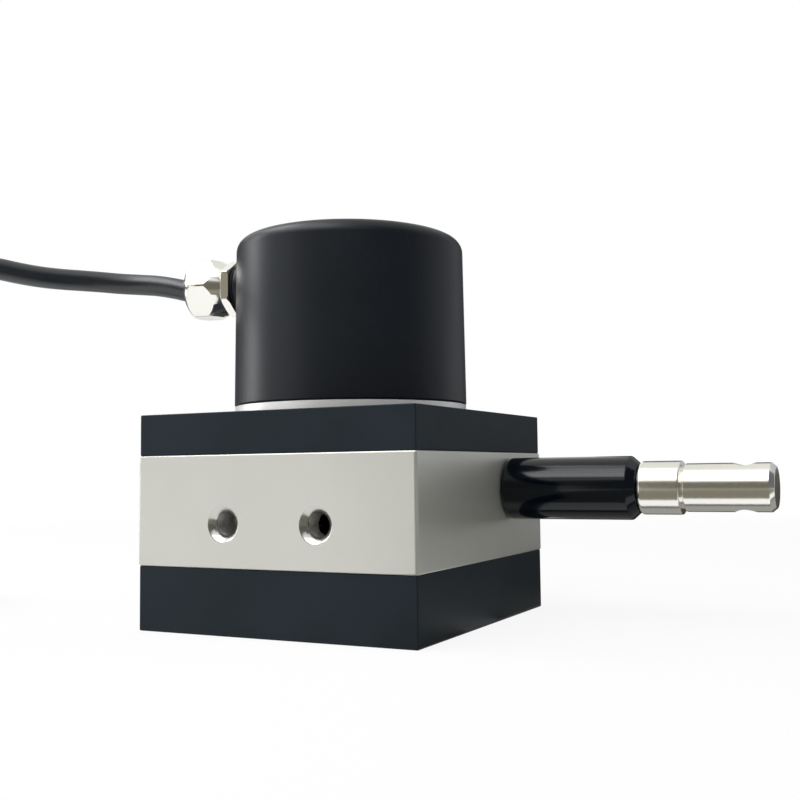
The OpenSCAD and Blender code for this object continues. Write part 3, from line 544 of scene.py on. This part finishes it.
def make_housing(*finishes):
    """The silver block with its chamber and holes, in three finishes: outside, mouths, threads, the
    last darkened as painted shade.
    """
    low, high = box("housing")
    half = high.x
    floor = low.z + 5
    body = block("body_housing", half, low.z, high.z, 0.6, 0.35)
    room = stack("cutter", [
        ([(x * 25, y * 25) for x, y in room_outline()], z) for z in (floor, high.z + 1)
    ])
    carve(body, room)
    backing = stack("backing", [
        ([(-14, -26), (-6, -26), (-6, -21), (-14, -21)], z) for z in (floor - 0.5, MOUNT_Z + 4)
    ])
    join(body, backing)
    front = Matrix.Translation((0, -half, MOUNT_Z)) @ Matrix.Rotation(math.pi / 2, 4, "X")
    cutters = [
        moved(thread_cutter(LEFT_HOLE_DEPTH, False), Matrix.Translation((-MOUNT_X, 0, 0)) @ front),
        moved(thread_cutter(RIGHT_HOLE_DEPTH, True), Matrix.Translation((MOUNT_X, 0, 0)) @ front),
        cylinder("cutter", 6, low.z + 1, floor + 1),
        cylinder("cutter", 5.2, low.z - 1, low.z + 2),
        moved(cylinder("cutter", 4.4, half - 8.5, half + 1), TO_WIRE),
    ]
    for x, y in CORNERS:
        for bottom, top in ((low.z - 1, low.z + 7), (high.z - 8, high.z + 1)):
            screw_hole = cylinder("cutter", 1.25, bottom, top, 24)
            cutters.append(moved(screw_hole, Matrix.Translation((x, y, 0))))
    carve(body, *cutters)
    for finish in finishes:
        body.data.materials.append(finish)
    finish_holes(body, half)
    return smooth(body)


def room_outline():
    """The drum's chamber, as a square of half side 1 whose corners are cut by an arc."""
    reach = 29 / 25
    corner = math.acos(1 / reach)
    points = []
    for quarter in range(4):
        start, stop = quarter * math.pi / 2 + corner, (quarter + 1) * math.pi / 2 - corner
        for i in range(9):
            angle = start + (stop - start) * i / 8
            points.append((reach * math.cos(angle), reach * math.sin(angle)))
    return points


def make_cover():
    """The spring cover with its room and the four countersunk holes underneath."""
    low, high = box("spring_cover")
    cover = block("body_cover", high.x, low.z, high.z, 0.3, 0.25)
    cutters = [cylinder("cutter", 25, 2.5, high.z + 1, 96)]
    for x, y in CORNERS:
        cutters.append(moved(
            countersink(FREE_R, high.z + 1, HEAD_R, HEAD_H, up=-1), Matrix.Translation((x, y, low.z))
        ))
    carve(cover, *cutters)
    return smooth(cover)


def make_plate():
    """The upper plate with the shaft hole, the bearing seats and four countersunk holes."""
    low, high = box("top_plate")
    plate = block("body_plate", high.x, low.z, high.z, 0.3, 0.25)
    cutters = [
        cylinder("cutter", 6, low.z - 1, low.z + 4),
        cylinder("cutter", 5.2, low.z - 1, high.z + 1),
        cylinder("cutter", 8, low.z + 4.8, high.z + 1),
    ]
    for x, y in CORNERS:
        cutters.append(moved(
            countersink(FREE_R, high.z - low.z, HEAD_R, HEAD_H), Matrix.Translation((x, y, high.z))
        ))
    carve(plate, *cutters)
    return smooth(plate)


def screw(name, shank_r, length, head_r, head_h):
    """Countersunk screw with a hexagon socket, head face at z = 0."""
    body = lathe(name, rounded([
        (0, 0), (head_r, 0, 0.12), (head_r, -0.2, 0.1), (shank_r, -head_h, 0.2),
        (shank_r, -length, 0.3), (0, -length),
    ], 3), 48)
    across = head_r * 0.75
    socket = stack("cutter", [
        (hexagon(across * grow, corner=0.02, steps=1), z)
        for z, grow in ((-head_h * 0.75, 1), (-0.15, 1), (0.05, 1.18), (0.5, 1.18))
    ])
    carve(body, socket)
    return body


def make_screws(name, places, up, *sizes):
    """The same screw at each place, as one piece."""
    built = bmesh.new()
    one = screw("one", *sizes)
    for place in places:
        mesh = one.data.copy()
        turn = Matrix.Identity(4) if up > 0 else Matrix.Rotation(math.pi, 4, "X")
        spin = Matrix.Rotation(place[0] + 2 * place[1], 4, "Z")
        mesh.transform(Matrix.Translation(Vector(place) * MM) @ turn @ spin)
        built.from_mesh(mesh)
    mesh = bpy.data.meshes.new(name)
    built.to_mesh(mesh)
    built.free()
    bpy.data.objects.remove(one)
    thing = bpy.data.objects.new(name, mesh)
    bpy.context.scene.collection.objects.link(thing)
    return smooth(thing)


# ---- Encoder cap and gland ----

PILLAR_RING = 18
CAP_WALL = 2.4
CAP_HEAD_R, CAP_HEAD_H = 2.2, 1.2
HEX_FROM, NUT_FROM = 25.2, 26.9


def ring_places(z):
    """The three screw places on the cap's circle."""
    return [
        (PILLAR_RING * math.cos(GLAND_ANGLE + turn), PILLAR_RING * math.sin(GLAND_ANGLE + turn), z)
        for turn in (math.radians(60), math.pi, math.radians(300))
    ]


def make_cap():
    """The encoder cap with its rounded rim, the gland boss and three screw holes."""
    low, high = box("encoder_cap")
    foot, top = high.x, high.x - 0.4
    room = foot - CAP_WALL
    outline = rounded([
        (room, low.z, 0.2), (foot, low.z, 0.35), (top, high.z, 2.8), (0, high.z),
        (0, high.z - CAP_WALL), (room, high.z - CAP_WALL, 1),
    ], 8)
    cap = lathe("cap_shell", outline, 160)
    boss = moved(lathe("boss", rounded([
        (0, 20.9), (4.9, 20.9), (4.9, 24.6, 0.35), (0, 24.6),
    ], 4), 64), to_gland(0))
    join(cap, boss)
    cutters = [moved(cylinder("cutter", 4, 18, 26), to_gland(0))]
    for place in ring_places(high.z):
        cutters.append(moved(countersink(1.35, 3, CAP_HEAD_R, CAP_HEAD_H), Matrix.Translation(place)))
    carve(cap, *cutters)
    return smooth(cap)


def make_gland_body():
    """The gland body's hexagon with turned-off corners, and its neck."""
    hex_part = stack("gland_hex", [(hexagon(10.4), z) for z in (HEX_FROM, NUT_FROM)])
    turned = lathe("turned", [
        (0, HEX_FROM), (5.55, HEX_FROM), (6, HEX_FROM + 0.3), (6, NUT_FROM - 0.3),
        (5.55, NUT_FROM), (0, NUT_FROM),
    ], 96)
    combine(hex_part, [turned], "INTERSECT")
    neck = cylinder("neck", 4, 20.8, 31)
    join(hex_part, neck)
    carve(hex_part, cylinder("cutter", 2.4, 20, 32), cylinder("cutter", 3.2, 26.4, 32))
    moved(hex_part, to_gland(0))
    return smooth(hex_part, bevel=0.06)


def make_gland_nut():
    """The gland nut, a hexagon that ends in a dome."""
    low, length, dome = NUT_FROM, 9.1, 3.9
    corner_r, mouth_r = 12 / math.sqrt(3), 2.8
    nut = stack("gland_nut_shell", [
        (hexagon(12, math.pi / 6, 0.9, 8), z) for z in (low, low + length)
    ])
    outline = [(0, low), (5.0, low), (5.25, low + 0.2), (corner_r, low + 3.4)]
    for i in range(1, 13):
        angle = math.pi / 2 * i / 12
        outline.append((
            mouth_r + (corner_r - mouth_r) * math.cos(angle),
            low + length - dome + dome * math.sin(angle),
        ))
    outline.append((0, low + length))
    combine(nut, [lathe("turned", outline, 96)], "INTERSECT")
    carve(
        nut, cylinder("cutter", 4.05, low - 1, low + 4.4), cylinder("cutter", 3.2, low, low + 8.1),
        cylinder("cutter", 2.4, low, low + length + 1),
    )
    moved(nut, to_gland(0))
    return smooth(nut, bevel=0.08)


def make_gland_washer():
    """The washer between cap and gland."""
    return smooth(moved(lathe("gland_washer_ring", rounded([
        (4, 24.6), (4.8, 24.6, 0.2), (4.8, HEX_FROM, 0.2), (4, HEX_FROM),
    ], 3), 64), to_gland(0)))


# ---- Wire outlet and end fitting ----

def make_tube():
    """The outlet tube with its chamfered end and the bore for the end fitting."""
    low, high = box("outlet_tube")
    start, end, radius = box("housing")[1].x, high.x, (high.z - low.z) / 2
    tube = lathe("outlet_tube_shell", rounded([
        (3, low.x), (4.35, low.x, 0.2), (4.35, start + 0.02), (radius, start + 0.02, 1.0),
        (radius, end - 1.6, 0.5), (radius - 1.4, end, 0.25), (4.2, end, 0.2),
        (4.2, end - 6, 0.1), (3, end - 6, 0.1),
    ], 6), 128)
    return smooth(moved(tube, TO_WIRE))


def make_collar():
    """The end fitting's collar, hollow towards the eye."""
    low, high = box("fitting_collar")
    radius = (high.z - low.z) / 2
    collar = lathe("fitting_collar_shell", rounded([
        (0.7, low.x), (radius, low.x, 0.9), (radius, high.x, 0.35), (3, high.x),
        (3, low.x + 1.6), (0.7, low.x + 1.6),
    ], 6), 128)
    return smooth(moved(collar, TO_WIRE))


def make_eye():
    """The eye end with its cross hole."""
    low, high = box("eye_end")
    radius = (high.z - low.z) / 2
    neck = box("fitting_collar")[1].x
    eye = lathe("eye_end_shell", rounded([
        (0, low.x), (3, low.x, 0.1), (3, neck - 0.02), (radius - 0.5, neck - 0.02),
        (radius - 0.5, neck + 0.5, 0.1), (radius, neck + 0.6, 0.25), (radius, high.x - 0.9, 0.3),
        (radius - 0.75, high.x, 0.25), (0, high.x),
    ], 6), 128)
    moved(eye, TO_WIRE)
    hole = cylinder("cutter", 2.1, -8, 8, 96)
    moved(hole, Matrix.Translation((high.x - 5.6, WIRE_AXIS.y, WIRE_AXIS.z)))
    carve(eye, hole)
    return smooth(eye, bevel=0.12)


def make_wire():
    """The stranded wire from the drum to the ferrule: six outer strands wind round a core."""
    low, high = box("draw_wire")
    guide = box("wire_guide")[0].x
    radius, strands, around, twists = 0.4, 6, 24, 46
    axis = WIRE_AXIS.z
    path = [
        (low.x, high.z - radius), (6, high.z - radius - 0.2), (15, axis + 2.8),
        (guide + 0.6, axis + 0.25), (guide + 4.6, axis + 0.05), (guide + 7.6, axis), (high.x, axis),
    ]
    steps = 460
    points, faces = [], []
    for i in range(steps + 1):
        x = low.x + (high.x - low.x) * i / steps
        k = max(j for j in range(len(path) - 1) if path[j][0] <= x)
        share = (x - path[k][0]) / (path[k + 1][0] - path[k][0])
        z = path[k][1] + (path[k + 1][1] - path[k][1]) * share
        for s in range(around):
            angle = 2 * math.pi * s / around
            lobe = abs(math.cos((angle - 2 * math.pi * twists * i / steps) * strands / 2))
            r = radius * (0.80 + 0.20 * lobe)
            points.append((x, WIRE_AXIS.y + r * math.cos(angle), z + r * math.sin(angle)))
    for i in range(steps):
        for s in range(around):
            a, b = i * around + s, i * around + (s + 1) % around
            faces.append((a, b, b + around, a + around))
    faces.append(tuple(reversed(range(around))))
    faces.append(tuple(range(steps * around, (steps + 1) * around)))
    wire = mesh_object("wire_strands", points, faces)
    wire.data.shade_smooth()
    return wire


# ---- Cable end and coil ties ----

def make_cores(materials):
    """Four insulated cores with bare tinned ends, fanning out of the sheath."""
    made = []
    end_x = (COIL_AT[0] - TURN_OUT_R) / MM
    end_y = (COIL_AT[1] + TAIL_L) / MM
    end_z = LOW_Z / MM
    for i, colour in enumerate(((0.40, 0.02, 0.02), (0.010, 0.010, 0.012), (0.55, 0.53, 0.48),
                                (0.02, 0.16, 0.05))):
        offset = i - 1.5
        lean = math.radians(3) * offset
        core = lathe("core_%d" % (i + 1), rounded([
            (0, -1.0), (0.45, -1.0), (0.45, 15.5, 0.08), (0.27, 15.5), (0.27, 19.6, 0.1),
            (0, 19.6),
        ], 3), 20)
        turn = Matrix.Rotation(-lean, 4, "Z") @ Matrix.Rotation(-math.pi / 2, 4, "X")
        moved(core, Matrix.Translation((end_x + offset, end_y, end_z)) @ turn)
        core.data.materials.append(finish_of("core_%d" % (i + 1), colour, 0.35, grain=1500))
        core.data.materials.append(materials["steel"])
        for face in core.data.polygons:
            face.material_index = 1 if face.center.y > (end_y + 15.4) * MM else 0
        smooth(core)
        made.append(core)
    return made


def make_tie(name, angle):
    """A strap round the coil's bundle, with its lock on top."""
    inner = (TURN_IN_R - CABLE_D / 2) / MM
    outer = (TURN_OUT_R + CABLE_D / 2) / MM
    low = (LOW_Z - CABLE_D / 2) / MM
    high = low + (2 * TURN_PITCH + CABLE_D) / MM
    middle = (inner + outer) / 2
    gap, thick, half_width = 0.1, 0.5, 2.25

    def corners(grow):
        left, right = inner - grow, outer + grow
        foot, top, corner = max(low - grow, 0.02), high + grow, 1.2 + grow
        return rounded([
            (left, foot, corner), (right, foot, corner), (right, top, corner), (left, top, corner),
        ], 5)

    inside, outside = corners(gap), corners(gap + thick)
    points, faces = [], []
    for outline in (inside, outside):
        for y in (-half_width, half_width):
            points += [(x, y, z) for x, z in outline]
    count = len(inside)
    for k in range(count):
        j = (k + 1) % count
        a, b, c, d = (m * count for m in range(4))
        faces += [
            (a + k, a + j, b + j, b + k), (c + k, d + k, d + j, c + j),
            (a + k, c + k, c + j, a + j), (b + k, b + j, d + j, d + k),
        ]
    tie = mesh_object(name, points, faces)
    lock = stack("lock", [
        ([(x * 2.4 + middle, y * 3.0) for x, y in ((-1, -1), (1, -1), (1, 1), (-1, 1))], z)
        for z in (high + 0.25, high + 2.1)
    ])
    join(tie, lock)
    carve(tie, stack("cutter", [
        ([(x * 1.2 + middle + 0.4, y * 2.3) for x, y in ((-1, -1), (1, -1), (1, 1), (-1, 1))], z)
        for z in (high + 1.1, high + 3)
    ]))
    centre = Vector((COIL_AT[0] / MM, COIL_AT[1] / MM, 0))
    moved(tie, Matrix.Translation(centre) @ Matrix.Rotation(math.radians(angle), 4, "Z"))
    return smooth(tie, bevel=0.12)


# ---- Stage ----

WORLD_LEVEL = 0.4


def to_camera_like(tree):
    """1 for camera, glossy and transmission rays, 0 for the rest."""
    path = tree.nodes.new("ShaderNodeLightPath")
    total = None
    for ray in ("Is Camera Ray", "Is Glossy Ray", "Is Transmission Ray"):
        if total is None:
            total = path.outputs[ray]
            continue
        add = tree.nodes.new("ShaderNodeMath")
        add.operation = "MAXIMUM"
        tree.links.new(total, add.inputs[0])
        tree.links.new(path.outputs[ray], add.inputs[1])
        total = add.outputs[0]
    return total


def make_world():
    """White to the camera and in reflections; WORLD_LEVEL is the light that it gives otherwise."""
    world = bpy.data.worlds.new("studio")
    bpy.context.scene.world = world
    world.use_nodes = True
    tree = world.node_tree
    background = tree.nodes["Background"]
    background.inputs["Color"].default_value = (1, 1, 1, 1)
    level = tree.nodes.new("ShaderNodeMapRange")
    level.inputs["To Min"].default_value = WORLD_LEVEL
    level.inputs["To Max"].default_value = 1.0
    tree.links.new(to_camera_like(tree), level.inputs["Value"])
    tree.links.new(level.outputs["Result"], background.inputs["Strength"])


def make_floor():
    """A wide pale floor that melts into the white background and keeps a faint shadow."""
    mesh = bpy.data.meshes.new("floor")
    reach, steps = 3.0, 64
    mesh.from_pydata(
        [(reach * math.cos(2 * math.pi * k / steps), reach * math.sin(2 * math.pi * k / steps),
          -0.00002) for k in range(steps)], [], [tuple(range(steps))]
    )
    floor = bpy.data.objects.new("floor", mesh)
    bpy.context.scene.collection.objects.link(floor)
    material = bpy.data.materials.new("pale_floor")
    material.use_nodes = True
    tree = material.node_tree
    tree.nodes.clear()
    out = tree.nodes.new("ShaderNodeOutputMaterial")
    diffuse = tree.nodes.new("ShaderNodeBsdfDiffuse")
    diffuse.inputs["Color"].default_value = (0.95, 0.95, 0.95, 1)
    glow = tree.nodes.new("ShaderNodeEmission")
    glow.inputs["Strength"].default_value = 1.0
    blend = tree.nodes.new("ShaderNodeMixShader")
    keep = tree.nodes.new("ShaderNodeMath")
    keep.operation = "MULTIPLY"
    keep.inputs[1].default_value = 0.89
    tree.links.new(to_camera_like(tree), keep.inputs[0])
    far = tree.nodes.new("ShaderNodeVectorMath")
    far.operation = "LENGTH"
    place = tree.nodes.new("ShaderNodeTexCoord")
    tree.links.new(place.outputs["Object"], far.inputs[0])
    fade = tree.nodes.new("ShaderNodeMapRange")
    fade.inputs["From Min"].default_value = 0.2
    fade.inputs["From Max"].default_value = 0.6
    fade.interpolation_type = "SMOOTHSTEP"
    tree.links.new(far.outputs["Value"], fade.inputs["Value"])
    most = tree.nodes.new("ShaderNodeMix")
    tree.links.new(fade.outputs["Result"], most.inputs["Factor"])
    tree.links.new(keep.outputs[0], most.inputs["A"])
    tree.links.new(to_camera_like(tree), most.inputs["B"])
    tree.links.new(most.outputs["Result"], blend.inputs["Fac"])
    tree.links.new(diffuse.outputs[0], blend.inputs[1])
    tree.links.new(glow.outputs[0], blend.inputs[2])
    tree.links.new(blend.outputs[0], out.inputs["Surface"])
    mesh.materials.append(material)


LAMP_AIM = Vector((0, 0, 0.035))
WALL_R = 0.55
CARD_Z = 0.0003
CEILING_Z = 0.70


def lamp(name, place, size, level):
    """A soft rectangular lamp in metres; a level of 1 is as bright as white paper."""
    data = bpy.data.lights.new(name, "AREA")
    data.shape = "RECTANGLE"
    data.size, data.size_y = size
    data.energy = level * math.pi * size[0] * size[1]
    thing = bpy.data.objects.new(name, data)
    thing.location = place
    thing.rotation_euler = (LAMP_AIM - Vector(place)).to_track_quat("-Z", "Y").to_euler()
    bpy.context.scene.collection.objects.link(thing)
    return thing


def card(name, corners, grey):
    """A studio card that shows only in reflections."""
    mesh = bpy.data.meshes.new(name)
    mesh.from_pydata(corners, [], [tuple(range(len(corners)))])
    thing = bpy.data.objects.new(name, mesh)
    bpy.context.scene.collection.objects.link(thing)
    material = bpy.data.materials.new(name)
    material.use_nodes = True
    tree = material.node_tree
    tree.nodes.clear()
    out = tree.nodes.new("ShaderNodeOutputMaterial")
    glow = tree.nodes.new("ShaderNodeEmission")
    glow.inputs["Color"].default_value = (*grey, 1)
    tree.links.new(glow.outputs[0], out.inputs["Surface"])
    mesh.materials.append(material)
    thing.visible_camera = False
    thing.visible_diffuse = False
    thing.visible_shadow = False
    thing.visible_transmission = False
    return thing


def wall(name, start, stop, low, high, grey):
    """Cards standing on an arc round the object, from one angle off +X to another in degrees."""
    steps = max(2, round(abs(stop - start) / 10))
    angles = [math.radians(start + (stop - start) * i / steps) for i in range(steps + 1)]
    for i, (a, b) in enumerate(zip(angles, angles[1:])):
        card("%s_%d" % (name, i + 1), [
            (WALL_R * math.cos(a), WALL_R * math.sin(a), low),
            (WALL_R * math.cos(b), WALL_R * math.sin(b), low),
            (WALL_R * math.cos(b), WALL_R * math.sin(b), high),
            (WALL_R * math.cos(a), WALL_R * math.sin(a), high),
        ], grey)


def ground(name, outline, grey, z=CARD_Z):
    """A level card with the outline's corners."""
    card(name, [(x, y, z) for x, y in outline], grey)


def strip(name, x0, x1, y0, y1, grey, z=CARD_Z):
    """A level card from x0 to x1 and from y0 to y1."""
    ground(name, [(x0, y0), (x1, y0), (x1, y1), (x0, y1)], grey, z)


BROWN = (0.136, 0.126, 0.095)
SAND = (0.355, 0.32, 0.245)
TAN = (0.27, 0.26, 0.21)
EARTH = (0.205, 0.195, 0.157)
SHADE = (0.055, 0.05, 0.042)
DARK = (0.13, 0.135, 0.15)
DIM = (0.11, 0.112, 0.115)
DUSK = (0.11, 0.115, 0.12)
LIGHT = (0.48, 0.50, 0.53)
BRIGHT = (0.90, 0.93, 0.95)
GREY = (0.32, 0.32, 0.31)
PALE = (0.78, 0.78, 0.74)
WHITE = (0.78, 0.79, 0.78)


KEY_X, KEY_WIDTH = -0.16, 0.62
# Name, y, z, depth and level: a graded light, brightest where it is lowest
KEY_LAMPS = [
    ("key_low", -0.46, 0.55, 0.15, 3.6), ("key_middle", -0.36, 0.64, 0.125, 2.9),
    ("key_high", -0.26, 0.70, 0.125, 2.0), ("key_top", -0.13, 0.74, 0.17, 1.4),
]
# Name, first and last angle, lower and upper edge, grey
WALLS = [
    ("front_card", -104, -42, -0.05, 0.335, BROWN),
    ("gland_card", -118, -104, 0.11, 0.32, SAND),
    ("right_front_card", -42, 15, -0.05, 0.70, DARK),
    ("right_low_card", 15, 42, -0.05, 0.035, DIM),
    ("corner_card", 42, 61, 0.01, 0.12, BRIGHT),
    ("right_light_card", 15, 42, 0.035, 0.50, LIGHT),
    ("corner_light_card", 42, 61, 0.12, 0.50, LIGHT),
    ("rear_low_card", 61, 80, -0.05, 0.035, SHADE),
    ("rear_soft_card", 61, 80, 0.035, 0.50, LIGHT),
    ("back_card", 80, 102, -0.05, 0.42, DIM),
    ("left_back_card", 130, 172, -0.05, 0.30, DUSK),
    ("left_front_card", -162, -134, -0.05, 0.30, WHITE),
]
FAR_GROUND = [(-0.10, -0.56), (0.40, -0.56), (0.40, -0.11), (0.003, -0.11)]
NEAR_GROUND = [(0.003, -0.11), (0.40, -0.11), (0.40, -0.010), (0.026, -0.010)]


def make_stage():
    """White world and floor, soft lamps, and grey cards that the polished pieces reflect."""
    bpy.context.scene.view_settings.view_transform = "Standard"
    make_world()
    make_floor()
    for name, y, z, depth, level in KEY_LAMPS:
        lamp(name, (KEY_X, y, z), (KEY_WIDTH, depth), level)
    lamp("rim_light", (-0.42, -0.10, 0.60), (0.30, 0.26), 5.0)
    lamp("left_strip", (-0.62, -0.13, 0.16), (0.14, 0.5), 5.2)
    for values in WALLS:
        wall(*values)
    ground("far_ground", FAR_GROUND, TAN)
    ground("near_ground", NEAR_GROUND, EARTH)
    strip("ground_line", 0.03, 0.40, 0.006, 0.011, DIM)
    strip("behind_ground", 0.03, 0.40, 0.011, 0.045, GREY)
    strip("back_ground", -0.15, 0.40, 0.045, 0.56, SHADE)
    strip("ceiling", -0.50, 0.60, 0.05, 0.90, PALE, CEILING_Z)


# ---- Put together ----

SLOT_OF = {
    "cover_seal": "black_rubber", "power_spring": "spring_steel", "spring_anchor_pin": "steel",
    "spring_arbor": "brass", "arbor_set_screw": "dark_screw", "drum": "bright_drum",
    "drum_pin": "steel", "drum_shaft": "steel", "wound_wire": "steel", "lower_spacer": "brass",
    "upper_spacer": "brass", "flange_screws": "screw_steel", "encoder_flange": "silver_body",
    "encoder_shaft": "steel", "shaft_coupling": "steel", "coupling_set_screws": "dark_screw",
    "disc_hub": "brass", "code_disc": "disc_metal", "light_source": "chip_black",
    "photo_detector": "chip_black", "lower_pillars": "brass", "encoder_board": "board_green",
    "board_chips": "chip_black", "terminal_block": "terminal_plastic", "upper_pillars": "brass",
    "cap_seal": "black_rubber", "gland_seal": "black_rubber", "core_leads": "core_insulation",
    "tube_seal": "black_rubber", "wire_guide": "ceramic", "wire_wiper": "felt",
    "nose_buffer": "black_rubber", "wire_ferrule": "steel",
}


def main():
    """Camera, cable and materials first, then the pieces, then the stage."""
    make_camera()
    cable = make_cable()
    materials = make_materials()
    # The flange gets a near-white copy of the silver finish: painted light standing in for the light on
    # its narrow rim.
    turned = finish_of("flange_painted_light", (0.98, 0.98, 0.97), 0.4, metal=0.35, grain=1500,
                       tint=0.02)

    for name, thing in NODES.items():
        slot = SLOT_OF.get(name, "steel")
        thing.data.materials.clear()
        # Only the flange takes that brightened copy; its extra lightness is painted light.
        thing.data.materials.append(turned if name == "encoder_flange" else materials[slot])

    def piece(thing, body, slot, *replaced):
        dress(thing, materials[slot])
        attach(thing, body)
        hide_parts(*replaced)
        return thing

    piece(make_cover(), "housing", "black_plate", "spring_cover")
    cut = finish_of("cut_metal", (0.60, 0.595, 0.56), 0.22, metal=1.0, grain=2500, tint=0.02)
    # The threads' finish is rougher than the body, and darker as painted shade inside the holes.
    tapped = finish_of("tapped_metal_painted_shade", (0.50, 0.49, 0.47), 0.4, metal=1.0, grain=2500)
    housing = make_housing(materials["silver_body"], cut, tapped)
    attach(housing, "housing")
    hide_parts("housing")
    piece(make_plate(), "housing", "black_plate", "top_plate")
    piece(make_cap(), "housing", "black_cap", "encoder_cap")
    piece(make_gland_washer(), "housing", "black_rubber", "gland_washer")
    piece(make_gland_body(), "housing", "nickel", "gland_body")
    piece(make_gland_nut(), "housing", "nickel", "gland_nut")
    piece(make_tube(), "housing", "black_tube", "outlet_tube")
    piece(make_collar(), "fitting", "nickel", "fitting_collar")
    piece(make_eye(), "fitting", "nickel", "eye_end")
    plate_top = box("top_plate")[1].z - 0.1
    piece(
        make_screws("plate_screw_set", [(x, y, plate_top) for x, y in CORNERS], 1,
                    SHANK_R, 14.9, HEAD_R, HEAD_H),
        "housing", "screw_steel", "plate_screws",
    )
    piece(
        make_screws("cover_screw_set", [(x, y, 0.1) for x, y in CORNERS], -1,
                    SHANK_R, 18, HEAD_R, HEAD_H),
        "housing", "screw_steel", "cover_screws",
    )
    cap_top = box("encoder_cap")[1].z - 0.1
    piece(
        make_screws("cap_screw_set", ring_places(cap_top), 1,
                    0.85, 6, CAP_HEAD_R, CAP_HEAD_H),
        "housing", "screw_steel", "cap_screws",
    )

    wire = make_wire()
    dress(wire, materials["steel"])
    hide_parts("draw_wire")
    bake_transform(wire)

    cores = make_cores(materials)
    ties = [make_tie("coil_tie_%d" % (i + 1), angle) for i, angle in enumerate((45, 225))]
    piece(cable, "housing", "cable_sheath", "cable", "cable_coil")
    for core in cores:
        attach(core, "housing")
        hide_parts("cable_leads")
    for tie in ties:
        piece(tie, "housing", "strap_black", "coil_ties")
    make_stage()


main()
